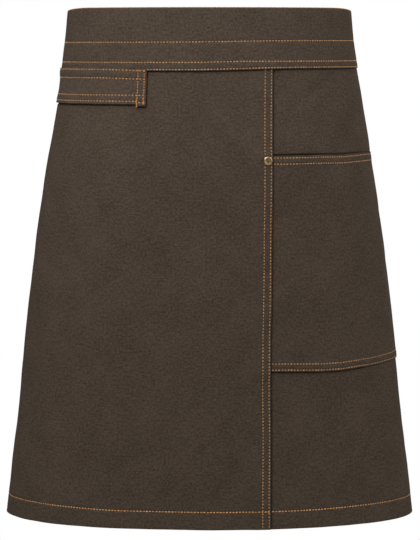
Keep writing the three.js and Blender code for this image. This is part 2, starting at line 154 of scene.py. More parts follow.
# Each level section is an ellipse. Arc lengths from the middle of the front are tabled by
# height and turn, and turns by height and share of half the girth.
heightLine = np.linspace(hemHeight - 6, bandTop + 6, 190)
turnLine = np.radians(np.arange(0, 196, 0.5))
shareLine = np.linspace(0, 1.06, 1400)
dropLine = (bandTop - heightLine) / apronLength
widthLine = mix(form["waistWidth"], form["hemWidth"], formShare(1, dropLine))
depthLine = mix(form["waistDepth"], form["hemDepth"], formShare(2, dropLine))
midTurns = (turnLine[1:] + turnLine[:-1]) / 2
stepLengths = np.hypot(widthLine[:, None] * np.cos(midTurns), depthLine[:, None] * np.sin(midTurns))
arcTable = np.zeros((len(heightLine), len(turnLine)))
arcTable[:, 1:] = np.cumsum(stepLengths * (turnLine[1] - turnLine[0]), axis=1)
halfGirthLine = np.array([np.interp(math.pi, turnLine, arcs) for arcs in arcTable])
turnTable = np.array([
    np.interp(shareLine * half, arcs, turnLine) for arcs, half in zip(arcTable, halfGirthLine)
])


# Bilinear look-up in a table with evenly spaced rows and columns
def sampled(table, rowLine, columnLine, row, column):
    r = np.clip((row - rowLine[0]) / (rowLine[1] - rowLine[0]), 0, len(rowLine) - 1.001)
    c = np.clip((column - columnLine[0]) / (columnLine[1] - columnLine[0]), 0, len(columnLine) - 1.001)
    i, j = r.astype(int), c.astype(int)
    fr, fc = r - i, c - j
    low = table[i, j] * (1 - fc) + table[i, j + 1] * fc
    high = table[i + 1, j] * (1 - fc) + table[i + 1, j + 1] * fc
    return low * (1 - fr) + high * fr


# Half width, half depth and half girth of the form, straight between the tabled heights
def halfWidthAt(height):
    return np.interp(height, heightLine, widthLine)


def halfDepthAt(height):
    return np.interp(height, heightLine, depthLine)


def halfGirth(height):
    return np.interp(height, heightLine, halfGirthLine)


# Signed arc from the middle of the front at a turn, and the turn at such an arc
def arcAt(turn, height):
    turn, height = np.broadcast_arrays(np.asarray(turn, float), np.asarray(height, float))
    return np.sign(turn) * sampled(arcTable, heightLine, turnLine, height, np.abs(turn))


def turnAt(arc, height):
    arc, height = np.broadcast_arrays(np.asarray(arc, float), np.asarray(height, float))
    share = np.abs(arc) / halfGirth(height)
    return np.sign(arc) * sampled(turnTable, heightLine, shareLine, height, share)


# The turn at a distance across the front is the arcsine of its share of the half width. The
# distance at a turn is the half width times its sine, and far off on the back half.
def turnAcross(across, height):
    return np.arcsin(across / halfWidthAt(height))


def acrossAt(turn, height):
    beyond = np.sign(turn) * 1e4
    return np.where(np.abs(turn) < math.pi / 2, halfWidthAt(height) * np.sin(turn), beyond)


# How far the cloth stands off the form: bumps (1 - u^2)^2 round each fold, soft creases with
# a bell section along short slanted lines, and a faint unevenness of summed sine waves.
waves = {"count": 26, "shortest": 16, "longest": 95, "height": 0.11, "slant": 0.9}
waveLengths = np.geomspace(waves["shortest"], waves["longest"], waves["count"])
waveTurns = rng.uniform(-waves["slant"], waves["slant"], waves["count"])
wavePhases = rng.uniform(0, 2 * math.pi, waves["count"])


def foldAt(turn, height):
    drop = (bandTop - height) / apronLength
    offset = np.zeros(np.broadcast(turn, height).shape)
    for at, reach, start, full, depth in foldTable:
        away = np.clip((turn - math.radians(at)) / math.radians(reach), -1, 1)
        offset = offset + depth * form["foldDepth"] * (1 - away**2) ** 2 * smooth(start, full, drop)
    return offset


def creaseAt(turn, height):
    arc = arcAt(turn, height)
    offset = np.zeros(arc.shape)
    for along, level, direction, halfLength, halfWidth, rise in creaseTable:
        c, s = math.cos(math.radians(direction)), math.sin(math.radians(direction))
        x, y = arc - along, height - level
        u, v = (x * c + y * s) / halfLength, (y * c - x * s) / halfWidth
        offset = offset + rise * np.exp(-(u**2) - v**2)
    calm = smooth(bandTop, bandBottom - 60, height)
    for length, slant, phase in zip(waveLengths, waveTurns, wavePhases):
        k = 2 * math.pi / length
        x = arc * math.cos(slant) + height * math.sin(slant)
        size = waves["height"] * (length / waves["longest"]) ** 0.8
        offset = offset + size * mix(0.45, 1, calm) * np.sin(k * x + phase)
    return offset


# The point of a height's ellipse at a turn, moved along the level normal by out, folds and creases
def onForm(turn, height, out):
    turn, height, out = np.broadcast_arrays(*(np.asarray(v, float) for v in (turn, height, out)))
    a, b = halfWidthAt(height), halfDepthAt(height)
    nx, ny = np.sin(turn) / a, -np.cos(turn) / b
    size = np.hypot(nx, ny)
    offset = out + foldAt(turn, height) + creaseAt(turn, height)
    x = a * np.sin(turn) + nx / size * offset
    y = -b * np.cos(turn) + ny / size * offset
    return np.stack([x, y, height], axis=-1)


# A piece on the part's one body, from points in millimetres, faces and flat places
def newObject(name, points, quads, flat, material):
    mesh = bpy.data.meshes.new(name)
    quads = np.asarray(quads, np.int32)
    mesh.vertices.add(len(points))
    mesh.vertices.foreach_set("co", (np.asarray(points) * 0.001).astype(np.float32).ravel())
    mesh.loops.add(quads.size)
    mesh.loops.foreach_set("vertex_index", quads.ravel())
    mesh.polygons.add(len(quads))
    mesh.polygons.foreach_set("loop_start", np.arange(0, quads.size, quads.shape[1], dtype=np.int32))
    mesh.polygons.foreach_set("use_smooth", np.ones(len(quads), bool))
    layer = mesh.uv_layers.new(name="flat")
    layer.data.foreach_set("uv", (np.asarray(flat)[quads.ravel()] * 0.001).astype(np.float32).ravel())
    mesh.update(calc_edges=True)
    mesh.validate()
    made = bpy.data.objects.new(name, mesh)
    bpy.context.scene.collection.objects.link(made)
    made.data.materials.append(material)
    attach(made, "root")
    return made


# Closed sheet between an outer and an inner grid, rows from low to high and columns from
# left to right as seen from outside. Across and up are its places when it is laid flat.
def sheetMesh(name, outer, inner, across, up, material):
    rows, columns = outer.shape[:2]
    flat = np.stack(np.broadcast_arrays(across, up), axis=-1)
    at = np.arange(rows * columns).reshape(rows, columns)
    other = at + rows * columns

    def quads(a, b, c, d):
        return np.stack([a.ravel(), b.ravel(), c.ravel(), d.ravel()], axis=-1)

    faces = [
        quads(at[:-1, :-1], at[:-1, 1:], at[1:, 1:], at[1:, :-1]),
        quads(other[:-1, :-1], other[1:, :-1], other[1:, 1:], other[:-1, 1:]),
        quads(other[0, :-1], other[0, 1:], at[0, 1:], at[0, :-1]),
        quads(at[-1, :-1], at[-1, 1:], other[-1, 1:], other[-1, :-1]),
        quads(at[:-1, 0], at[1:, 0], other[1:, 0], other[:-1, 0]),
        quads(other[:-1, -1], other[1:, -1], at[1:, -1], at[:-1, -1]),
    ]
    points = np.concatenate([outer.reshape(-1, 3), inner.reshape(-1, 3)])
    both = np.concatenate([flat.reshape(-1, 2), flat.reshape(-1, 2)])
    return newObject(name, points, np.concatenate(faces), both, material)


# Faces over closed rings of points, with a pole at either end, low and then high, after the rings
def ringFaces(rings, count):
    ring = np.arange(rings * count).reshape(rings, count)
    following = np.roll(ring, -1, axis=1)
    quads = np.stack([ring[:-1], following[:-1], following[1:], ring[1:]], axis=-1).reshape(-1, 4)
    low, high = np.full(count, ring.size), np.full(count, ring.size + 1)
    return np.concatenate([
        quads[:, [0, 1, 2]],
        quads[:, [0, 2, 3]],
        np.stack([low, following[0], ring[0]], axis=-1),
        np.stack([high, ring[-1], following[-1]], axis=-1),
    ])


# Places of close grid lines: in a rounded end, beside a sewn row, at a fold's step, by an edge
closeLines = {
    "end": np.array([0, 0.08, 0.3, 0.65, 1.0]),
    "row": np.array([-2.6, -1.3, -0.6, 0, 0.6, 1.3, 2.6]),
    "fold": np.array([-0.7, -0.25, 0.25, 0.7]),
    "edge": np.arange(-1.2, 3.1, 0.6),
    "drawnStep": 0.55,
}


# A grid line: even steps, with close lines at both rounded ends and beside each sewn row
def gridLine(length, sewn=(), reach=0.5, cell=cloth["cell"], extra=()):
    ends = closeLines["end"] * reach
    fixed = [ends, length - ends, *(row + closeLines["row"] for row in sewn), np.asarray(extra, float)]
    fixed = np.unique(np.round(np.concatenate(fixed), 4))
    fixed = fixed[(fixed >= 0) & (fixed <= length)]
    spans = zip(fixed[:-1], fixed[1:])
    parts = [np.linspace(a, b, max(1, math.ceil((b - a) / cell)), endpoint=False) for a, b in spans]
    return np.concatenate([*parts, [length]])


# Share of the half wall left at a distance from an edge, as a quarter circle
def rounded(distance, half):
    share = np.clip(distance / half, 0, 1)
    return np.maximum(np.sqrt(1 - (1 - share) ** 2), 0.1)


# The smallest of several distances, place by place
def nearest(first, *others):
    for other in others:
        first = np.minimum(first, other)
    return first


# Sewn rows press the cloth in, with small puffs along them
sewing = {"press": 0.42, "reach": 0.95, "puff": 0.12, "puffLength": 8.5, "puffReach": 4.5}

# How much further along each next row of a group has its puffs
puffShift = {"band": 37, "seam": 40, "mouth": 13, "foot": 29, "side": 17, "loop": 31, "end": 11}


# A bell-shaped groove at a distance from a row, and puffs that beat along it as sine waves
def pressed(distance, along):
    groove = sewing["press"] * np.exp(-((distance / sewing["reach"]) ** 2))
    beat = np.sin(2 * math.pi * along / sewing["puffLength"] + 1.7 * np.sin(along / 23))
    near = np.exp(-((distance / sewing["puffReach"]) ** 2))
    return groove + sewing["puff"] * near * beat * np.sin(along / 61 + distance / 5)


# Fine forms: turned hems, the groove beside an edge and the arcs where it fades, ripples, and
# the arcs between which the pocket turns round the side of the form
relief = {
    "hemRise": 0.42,
    "grooveDepth": 1.25,
    "grooveReach": 0.95,
    "grooveFrom": 0.35,
    "fadeArcs": (205, 170),
    "rippleRise": 0.14,
    "rippleLength": 7.5,
    "rippleSlant": 0.9,
    "wrapDepth": 1.0,
    "wrapStart": (165, 200),
    "wrapEnd": (275, 240),
}


# The grooves of a group of rows, summed: distance and rows count from the same line
def rowsPressed(distance, along, rows, group):
    shifted = ((row, along + puffShift[group] * i) for i, row in enumerate(rows))
    return sum(pressed(np.abs(distance - row), place) for row, place in shifted)


# Cloth beside a sewn edge is thicker by the turned hem inside it
def turnedIn(distance, width):
    return relief["hemRise"] * smooth(width + 1.4, width - 0.4, distance)


# Cloth under an edge is drawn in along it, distance counted away from the edge
def drawnIn(distance, depth=relief["grooveDepth"], reach=relief["grooveReach"]):
    return depth * np.exp(-(((distance - relief["grooveFrom"]) / reach) ** 2))


# The drawn-in lines fade on the sides of the form, where the cloth hangs freely
def inFront(arc):
    return smooth(*relief["fadeArcs"], np.abs(arc))


# Fine slanted ripples between an edge and its row
def rippled(along, distance, width):
    wave = 2 * math.pi * (along + relief["rippleSlant"] * distance) / relief["rippleLength"]
    fade = smooth(width, width * 0.4, distance)
    return relief["rippleRise"] * np.sin(wave + np.sin(along / 17)) * fade


# Stitches. The ranges are random: slip along the row, yaw, shares of length and width, colour.
stitch = {
    "pitch": 3.45,
    "length": 2.4,
    "halfWidth": 0.64,
    "rise": 0.42,
    "sink": 0.5,
    "lift": 0.24,
    "sideSink": 0.3,
    "sideAcross": (125, 205),
    "sides": 6,
    "rings": 5,
    "slip": 0.09,
    "yaw": (0.05, 0.03),
    "lengths": (0.93, 1.05),
    "widths": (0.92, 1.08),
    "colours": (0, 900),
}


# One stitch: a capsule along u from -1 to 1, its radius the root of 1 - |u|^2.8
def stitchTemplate():
    u = np.cos(np.linspace(math.pi, 0, stitch["rings"] + 2))[1:-1, None]
    angle = np.arange(stitch["sides"]) / stitch["sides"] * 2 * math.pi
    radius = (1 - np.abs(u) ** 2.8) ** 0.5
    body = np.stack(np.broadcast_arrays(u, radius * np.cos(angle), radius * np.sin(angle)), axis=-1)
    points = np.concatenate([body.reshape(-1, 3), [[-1, 0, 0], [1, 0, 0]]])
    return points, ringFaces(stitch["rings"], stitch["sides"])[:, ::-1]


template, templateFaces = stitchTemplate()


# Points and faces of the stitches along a polyline that lies on a surface. Their ends dip by the
# sink times u^4, and all lie deeper on the sides of the form.
def stitchesAlong(points, normals, width=1.0, pitch=stitch["pitch"], length=stitch["length"]):
    steps = np.linalg.norm(np.diff(points, axis=0), axis=1)
    run = np.concatenate([[0], np.cumsum(steps)])
    count = max(1, int(round(run[-1] / pitch)))
    pitch = run[-1] / count
    centres = (np.arange(count) + 0.5) * pitch + rng.normal(0, stitch["slip"], count)
    ends = np.stack([centres - pitch / 2, centres + pitch / 2])

    def sampledAt(values, where):
        return np.stack([np.interp(where, run, values[:, i]) for i in range(3)], axis=-1)

    tangent = sampledAt(points, ends[1]) - sampledAt(points, ends[0])
    tangent /= np.linalg.norm(tangent, axis=1, keepdims=True)
    normal = sampledAt(normals, centres)
    side = np.cross(normal, tangent)
    side /= np.linalg.norm(side, axis=1, keepdims=True)
    normal = np.cross(tangent, side)
    yaw = rng.normal(*stitch["yaw"], count)[:, None]
    tangent, side = tangent + side * yaw, side - tangent * yaw
    half = length / 2 * rng.uniform(*stitch["lengths"], count)[:, None, None]
    thick = width * rng.uniform(*stitch["widths"], count)[:, None, None]
    u, v, w = template[None, :, 0:1], template[None, :, 1:2], template[None, :, 2:3]
    middle = sampledAt(points, centres)
    aside = smooth(*stitch["sideAcross"], np.abs(middle[:, 0]))[:, None, None]
    dip = stitch["sink"] * u**4 + stitch["sideSink"] * aside
    placed = middle[:, None] + tangent[:, None] * u * half
    placed = placed + side[:, None] * v * stitch["halfWidth"] * thick
    placed = placed + normal[:, None] * (w * stitch["rise"] * thick + stitch["lift"] - dip)
    faces = templateFaces[None] + (np.arange(count) * len(template))[:, None, None]
    drawn = np.zeros((count, len(template), 2))
    drawn[..., 0] = centres[:, None] + u[..., 0] * pitch / 2
    drawn[..., 1] = rng.uniform(*stitch["colours"], count)[:, None] + v[..., 0]
    return placed.reshape(-1, 3), faces.reshape(-1, 3), drawn.reshape(-1, 2)


class Sewing:
    def __init__(self):
        self.parts = []

    # A row along turns and heights on a face that is out from the form, side 1 outwards
    def row(self, turn, height, out, side=1, **settings):
        turn, height, out = np.broadcast_arrays(turn, height, out)
        points = onForm(turn, height, out)
        normals = (onForm(turn, height, out + 1) - points) * side
        self.parts.append(stitchesAlong(points, normals, **settings))

    def free(self, points, normals, **settings):
        self.parts.append(stitchesAlong(points, normals, **settings))

    def build(self, name, material):
        offsets = np.cumsum([0] + [len(p) for p, _, _ in self.parts])
        points = np.concatenate([p for p, _, _ in self.parts])
        faces = np.concatenate([f + o for (_, f, _), o in zip(self.parts, offsets)])
        drawn = np.concatenate([d for _, _, d in self.parts])
        made = newObject(name, points, faces, drawn, material)
        say(f"{name}: {len(faces)} triangles")
        return made


# Shader maths: a wire is an output that can be added to, subtracted from and multiplied
class Wire:
    def __init__(self, shading, socket):
        self.shading = shading
        self.socket = socket

    def math(self, operation, other):
        return self.shading.node("ShaderNodeMath", {"operation": operation}, {0: self, 1: other})

    def __add__(self, other):
        return self.math("ADD", other)

    def __sub__(self, other):
        return self.math("SUBTRACT", other)

    def __mul__(self, other):
        return self.math("MULTIPLY", other)


# The nodes of a material or a world, round the one that its surface or light comes from
class Shading:
    def __init__(self, owner, main="Principled BSDF"):
        owner.use_nodes = True
        self.owner = owner
        self.tree = owner.node_tree
        self.main = self.tree.nodes[main]

    # A node of a type, with settings first and then values or links of its sockets
    def node(self, kind, settings=None, sockets=None, result=0):
        made = self.tree.nodes.new(kind)
        for name, value in (settings or {}).items():
            setattr(made, name, value)
        for key, value in (sockets or {}).items():
            self.put(made.inputs[key], value)
        return Wire(self, made.outputs[result])

    def put(self, socket, value):
        if isinstance(value, Wire):
            self.tree.links.new(value.socket, socket)
        else:
            socket.default_value = value

    def surface(self, **values):
        for name, value in values.items():
            self.put(self.main.inputs[name.replace("_", " ")], value)

    def flatMap(self):
        return self.node("ShaderNodeUVMap", {"uv_map": "flat"})

    def part(self, place, axis):
        return self.node("ShaderNodeSeparateXYZ", {}, {0: place}, axis)

    def sine(self, angle):
        return self.node("ShaderNodeMath", {"operation": "SINE"}, {0: angle})

    def bump(self, height, strength, distance):
        values = {"Strength": strength, "Distance": distance, "Height": height}
        return self.node("ShaderNodeBump", {}, values)

    def colourMix(self, share, a, b):
        settings = {"data_type": "RGBA", "blend_type": "MIX"}
        return self.node("ShaderNodeMix", settings, {0: share, 6: a, 7: b}, 2)

    def noise(self, place, scale, detail=2.0, roughness=0.5):
        values = {"Vector": place, "Scale": scale, "Detail": detail, "Roughness": roughness}
        return self.node("ShaderNodeTexNoise", {}, values)

    def stretch(self, place, scale, turn=0.0):
        values = {"Vector": place, "Scale": scale, "Rotation": (0, 0, turn)}
        return self.node("ShaderNodeMapping", {}, values)

    def remap(self, value, low, high, toLow=0.0, toHigh=1.0):
        return self.node("ShaderNodeMapRange", {}, {0: value, 1: low, 2: high, 3: toLow, 4: toHigh})


# Twill: the diagonal ribs are a wave across the weave's own UV map in metres, broken by fine
# noise into separate yarn floats; heather and slubs mottle the colour.
twill = {
    "rib": 0.00085,
    "slant": 38,
    "dark": (0.0502, 0.0364, 0.0264),
    "light": (0.0985, 0.0733, 0.0541),
    "strapShade": 1.1,
    "bump": 0.35,
    "bumpDepth": 0.00022,
    "heather": 2.7,
    "cloud": 0.8,
}


def twillMaterial(name, shade=1.0):
    s = Shading(bpy.data.materials.new(name))
    flat = s.flatMap()
    ribs = s.stretch(flat, (1 / twill["rib"], 1 / twill["rib"], 1), math.radians(twill["slant"]))
    wobble = s.noise(flat, 420.0, 1.0)
    rib = s.sine((s.part(ribs, 0) + wobble * 0.8) * (2 * math.pi)) * 0.5 + 0.5
    yarn = s.noise(s.stretch(flat, (300, 1500, 1)), 1.0)
    weft = s.noise(s.stretch(flat, (1500, 260, 1)), 1.0)
    slub = s.noise(s.stretch(flat, (90, 700, 1), math.radians(4)), 1.0, 3.0)
    cloud = s.noise(flat, 26.0, 4.0, 0.6)
    heather = s.noise(flat, 430.0, 3.0, 0.65)
    fine = (yarn + weft - 1) * 0.9 + (slub - 0.5) * 1.1 + (rib - 0.5) * 0.25
    tone = (heather - 0.5) * twill["heather"] + (cloud - 0.5) * twill["cloud"] + fine + 0.5
    dark, light = ((*(c * shade for c in twill[key]), 1) for key in ("dark", "light"))
    height = rib * 0.6 + yarn * 0.5 + weft * 0.4 + heather * 0.35
    s.surface(Base_Color=s.colourMix(s.remap(tone, 0.0, 1.0), dark, light))
    s.surface(Roughness=s.remap(cloud, 0.3, 0.7, 0.86, 0.97), Specular_IOR_Level=0.03)
    s.surface(Normal=s.bump(height, twill["bump"], twill["bumpDepth"]))
    return s.owner


# Thread: two plies twist along each stitch, between a dark and a light colour
thread = {
    "plain": ((0.25, 0.108, 0.040, 1), (0.70, 0.385, 0.185, 1)),
    "hem": ((0.36, 0.15, 0.048, 1), (0.90, 0.47, 0.20, 1)),
    "bright": ((0.36, 0.12, 0.036, 1), (0.78, 0.34, 0.13, 1)),
    "ply": 0.0011,
}


def threadMaterial(name, colours):
    s = Shading(bpy.data.materials.new(name))
    flat = s.flatMap()
    along, across = s.part(flat, 0), s.part(flat, 1)
    twist = s.sine((along + across * 0.6) * (2 * math.pi / thread["ply"]))
    each = s.noise(s.stretch(flat, (240, 3, 1)), 1.0, 1.0)
    tone = twist * 0.16 + s.remap(each, 0.25, 0.75, 0.1, 0.9)
    s.surface(Base_Color=s.colourMix(s.remap(tone, 0.0, 1.0), *colours), Roughness=0.6)
    s.surface(Normal=s.bump(twist, 0.35, 0.0001), Specular_IOR_Level=0.15)
    return s.owner


# Antique brass: bright where worn on the rim, olive in the dish
brass = {
    "dish": (0.25, 0.178, 0.078, 1),
    "worn": (0.50, 0.350, 0.195, 1),
    "wornFrom": 0.0024,
    "wornTo": 0.0036,
}


def brassMaterial():
    s = Shading(bpy.data.materials.new("antique_brass"))
    radius = s.part(s.flatMap(), 0)
    grime = s.noise(s.node("ShaderNodeTexCoord", {}, {}, "Object"), 900.0, 4.0, 0.6)
    worn = s.remap(radius + grime * 0.0012 - 0.0006, brass["wornFrom"], brass["wornTo"])
    s.surface(Base_Color=s.colourMix(worn, brass["dish"], brass["worn"]), Metallic=1.0)
    s.surface(Roughness=s.remap(grime, 0.3, 0.7, 0.25, 0.42), Normal=s.bump(grime, 0.3, 0.0001))
    return s.owner


twillCloth = twillMaterial("brown_twill")
strapCloth = twillMaterial("brown_twill_strap", twill["strapShade"])
threadPlain = threadMaterial("tan_thread", thread["plain"])
threadHem = threadMaterial("amber_thread", thread["hem"])
threadBright = threadMaterial("orange_thread", thread["bright"])
brassFinish = brassMaterial()
say("materials made")

# Sizes that several pieces share
skirt = {
    "bandLength": 700,
    "hemSweep": 900,
    "endMargin": 3,
    "seamAcross": 67,
    "lap": 14,
    "tuck": 14,
    "hem": 19,
    "sideHem": 12,
    "climb": 12,
}
panelInner = layerStep
panelOuter = panelInner + cloth["wall"]
bandOuter = 3 * cloth["wall"] + 2 * cloth["gap"]


# The lapped edge leans a little: height, then how far it lies left of its place
seamLeanTable = np.array([
    (-524, 1.9),
    (-440, 1.9),
    (-415, 1.8),
    (-385, 2.2),
    (-350, 2.5),
    (-315, 2.4),
    (-280, 1.7),
    (-245, 1.2),
    (-170, 0.8),
    (-110, 0.6),
    (-30, 0.3),
    (40, 0.0),
])


# Arc of the lapped edge, or of a line that lies inwards of it
def seamArc(height, inwards=0.0):
    lean = np.interp(height, seamLeanTable[:, 0], seamLeanTable[:, 1])
    return arcAt(turnAcross(skirt["seamAcross"] - lean - inwards, height), height)


# Arc of a panel's back edge, straight from the band's end down to the hem's sweep
def backArc(height):
    down = np.clip((bandBottom - height) / (bandBottom - hemHeight), 0, 1)
    return mix(skirt["bandLength"] / 2 - skirt["endMargin"], skirt["hemSweep"] / 2, down)


# One layer lies under the lap, and two where the pocket does too
def layersUnderLap(height):
    above = smooth(pocketTop + 11, pocketTop + 1, height)
    below = smooth(pocketBottom - 11, pocketBottom - 1, height)
    return 1 + above * below


# The lapped edge rises by a layer's step for each layer under it, over the climb's width
def lapRise(turn, height):
    edge = skirt["seamAcross"] - skirt["lap"] - 1
    across = acrossAt(turn, height)
    return layerStep * layersUnderLap(height) * smooth(edge - skirt["climb"], edge, across)


# Band: heights of its rows, how far its top dips at the back, and how much each row is tilted
band = {
    "rowsUp": (31.0, 9.4, 1.4),
    "dip": 6.5,
    "dipTurns": (math.radians(58), math.radians(120)),
    "rise": 0.7,
    "tilts": (0.55, 0.65, 2.4),
}
foldRadius = bandOuter / 2


# The band's lower rows run a little uneven: each is lifted by its own share of the way across
def bandTilt(turn, height):
    across = halfWidthAt(height) * np.sin(turn)
    up = height - bandBottom
    high, mid, low = band["rowsUp"]
    highTilt, midTilt, lowTilt = band["tilts"]
    lowest = lowTilt * smooth(-25, 100, across) - 0.15
    lower = midTilt * np.tanh((across - 14) / 28)
    middle = highTilt * np.tanh((across - 28) / 30) + 0.003 * across
    lift = mix(mix(lowest, lower, smooth(low, mid, up)), middle, smooth(mid, high, up))
    lift = lift * smooth(bandTop - 4, bandBottom + high, height)
    return lift * smooth(math.radians(165), math.radians(100), np.abs(turn))


# The band's fold lies lower towards the back
def bandFoldLevel(turn):
    dip = band["dip"] * smooth(*band["dipTurns"], np.abs(turn))
    return bandTop + band["rise"] - dip - foldRadius


# The band stands out by one step over the lap, less from its middle upwards
def bandSwell(turn, height):
    across = acrossAt(turn, bandBottom)
    left, right = skirt["seamAcross"] - skirt["lap"] - 1, skirt["seamAcross"] + 1
    sideways = smooth(left - skirt["climb"], left, across)
    sideways = sideways * smooth(right + skirt["climb"], right, across)
    tucked = bandBottom + skirt["tuck"] + 1
    return layerStep * sideways * smooth(bandBottom + 40, tucked, height)


def bandPress(arc, height):
    return rowsPressed(height - bandBottom, arc, band["rowsUp"], "band")


# The band's outer face: its thickness and swell, and the turned edge except under the loop
def bandFace(turn, arc, level):
    up = level - bandBottom
    underLoop = smooth(-loopSewnEnd + 3, -loopSewnEnd - 1, arc) * smooth(-330, -318, arc)
    puff = turnedIn(up, 10) * (1 - underLoop) * inFront(arc)
    return bandOuter + bandSwell(turn, level) + puff - rippled(arc, up, 9)


# The band's section goes up its outer face, over the top in half a circle and down inside
def waistband():
    columns = gridLine(skirt["bandLength"])
    turn = turnAt(columns - skirt["bandLength"] / 2, bandBottom)
    upright = bandTop - foldRadius - bandBottom
    over = math.pi * foldRadius
    run = gridLine(2 * upright + over, sewn=band["rowsUp"], cell=2.4,
                   extra=upright + np.linspace(0, 1, 13) * over)
    angle = np.clip((run - upright) / over, 0, 1)[:, None] * math.pi
    share = np.where(run < upright, run / upright, np.clip((2 * upright + over - run) / upright, 0, 1))
    turn, share = turn[None, :], share[:, None]
    level = mix(bandBottom, bandFoldLevel(turn), share)
    distance = np.minimum(run, run[-1] - run)[:, None]
    endwise = np.minimum(columns, columns[-1] - columns)[None, :]
    fade = rounded(np.minimum(distance, endwise), cloth["wall"] / 2)
    outside = (1 + np.cos(angle)) / 2
    arc = columns[None, :] - skirt["bandLength"] / 2
    press = bandPress(arc, level) * mix(0.5, 1, outside)
    swell = bandSwell(turn, level)
    puff = (bandFace(turn, arc, level) - bandOuter - swell) * outside * fade
    middle, half = foldRadius - cloth["wall"] / 2, cloth["wall"] / 2 * fade
    faces = []
    for radius in (middle + half - press + puff, middle - half - press * 0.5):
        out = foldRadius + radius * np.cos(angle) + swell * outside
        height = level + radius * np.sin(angle)
        height = height + bandTilt(turn, height) * outside
        faces.append(onForm(turn, height, out))
    made = sheetMesh("waistband_cloth", faces[0], faces[1], arc, run[:, None], twillCloth)
    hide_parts("waistband")
    return made


# Panels. A column keeps its distance to the nearer edge, and is spread evenly in between.
def panelArc(column, length, left, right, keep=48):
    share = (column - keep) / (length - 2 * keep)
    between = mix(left + keep, right - keep, share)
    return np.where(column < keep, left + column, np.where(
        column > length - keep, right - (length - column), between))


# The column that lies at an arc where left and right edges are at these arcs
def panelColumn(arc, length, left, right, keep=48):
    return keep + (arc - left - keep) / (right - left - 2 * keep) * (length - 2 * keep)


panel = {"seamRows": (1.9, 8.7), "hemRow": 19.3, "sideRow": 10.6, "step": 0.7}


# The hem's row is a little higher at both sides of the front
def hemRow(turn):
    across = halfWidthAt(hemHeight) * np.abs(np.sin(turn))
    return panel["hemRow"] + 1.3 * smooth(90, 200, across)


# Share of the second layer where hem and back edge are folded in
def foldedLayer(fromBack, height):
    atHem = smooth(skirt["hem"] + panel["step"], skirt["hem"] - panel["step"], height - hemHeight)
    below = smooth(bandBottom - 0.4, bandBottom - 1.8, height)
    atBack = smooth(skirt["sideHem"] + panel["step"], skirt["sideHem"] - panel["step"], fromBack) * below
    return np.maximum(atHem, atBack)


# Row heights of a panel, close together where it is drawn in. Each entry of drawn is a level,
# a start and an end.
def panelRows(drawn):
    total = bandBottom + skirt["tuck"] - hemHeight
    step = closeLines["drawnStep"]
    close = [level - hemHeight + np.arange(first, last, step) for level, first, last in drawn]
    extra = np.concatenate([*close, skirt["hem"] + closeLines["fold"]])
    return hemHeight + gridLine(total, sewn=[panel["hemRow"]], reach=1.0, extra=extra)


# A panel's sheet, doubled where second is 1: its outer face, less a wall that is rounded at the
# edges. Puff is outside only, and ripple and rows of stitches press both faces in.
def panelSheet(name, turn, arc, rows, fromBack, fromSide, second, face, puff, ripple, press):
    up = rows - hemHeight
    half = cloth["wall"] * (1 + second) / 2
    fade = rounded(nearest(fromBack, fromSide, up, rows[-1] - rows), half)
    press = press + ripple * fade + pressed(np.abs(up - hemRow(turn)), arc)
    press = press + pressed(np.abs(fromBack - panel["sideRow"]), rows)
    outer = onForm(turn, rows, face - half + (half + puff) * fade - press)
    inner = onForm(turn, rows, face - half - half * fade - press * (1 - second) * 0.6)
    return sheetMesh(name, outer, inner, arc, rows, twillCloth)


# The main panel's outer face at a distance from the seam, with its fine forms
def mainFace(turn, height, fromSeam):
    up = height - hemHeight
    ripple = rippled(height, fromSeam, 8) + rippled(arcAt(turn, height), up, 18)
    return panelOuter + lapRise(turn, height) + turnedIn(fromSeam, 9.6) - ripple


# Both panels are drawn in along the waistband's lower edge
def underBand(turn, arc, height):
    return drawnIn(bandBottom + bandTilt(turn, height) - height) * inFront(arc)


# The main panel is drawn in under the waistband's edge and round the towel loop's end
def mainDrawn(turn, arc, height):
    past = arc + loopSewnEnd
    beside = smooth(loopBottom - 4, loopBottom - 1, height) * smooth(bandBottom + 3, bandBottom, height)
    under = drawnIn(loopFoot(-past) - height) * smooth(1.5, 0, past)
    corner = drawnIn(past + loopSkew(height)) * beside
    return np.maximum(underBand(turn, arc, height), np.maximum(corner, under))


# The main panel, from its back edge round the left side to the lapped edge
def mainPanel():
    rows = panelRows([(bandBottom, -2.8, 3.4), (loopBottom, -5.2, 1.8)])[:, None]
    length = skirt["hemSweep"] / 2 + skirt["seamAcross"] + 2
    atLoop = panelColumn(-loopSewnEnd, length, -backArc(loopMiddle), float(seamArc(loopMiddle)))
    columns = gridLine(length, sewn=[panel["sideRow"], *(length - d for d in panel["seamRows"])],
                       extra=[*(skirt["sideHem"] + closeLines["fold"]),
                              *(atLoop + np.arange(-2.4, 5, 0.6))])[None, :]
    right = seamArc(rows)
    arc = panelArc(columns, length, -backArc(rows), right)
    turn = turnAt(arc, rows)
    fromBack, fromSeam = arc + backArc(rows), right - arc
    single = smooth(skirt["lap"] + skirt["climb"] + 1, skirt["lap"] + skirt["climb"] + 3, fromSeam)
    second = foldedLayer(fromBack, rows) * single
    risen = panelOuter + lapRise(turn, rows)
    face, puff = risen - mainDrawn(turn, arc, rows), mainFace(turn, rows, fromSeam) - risen
    press = rowsPressed(fromSeam, rows, panel["seamRows"], "seam")
    made = panelSheet("main_panel_cloth", turn, arc, rows, fromBack, fromSeam, second, face, puff, 0, press)
    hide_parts("main_panel")
    return made


# Where the pocket turns round the side of the form it lies deeper, and the panel under it gives way
def wrapPress(arc):
    return relief["wrapDepth"] * smooth(*relief["wrapStart"], arc) * smooth(*relief["wrapEnd"], arc)


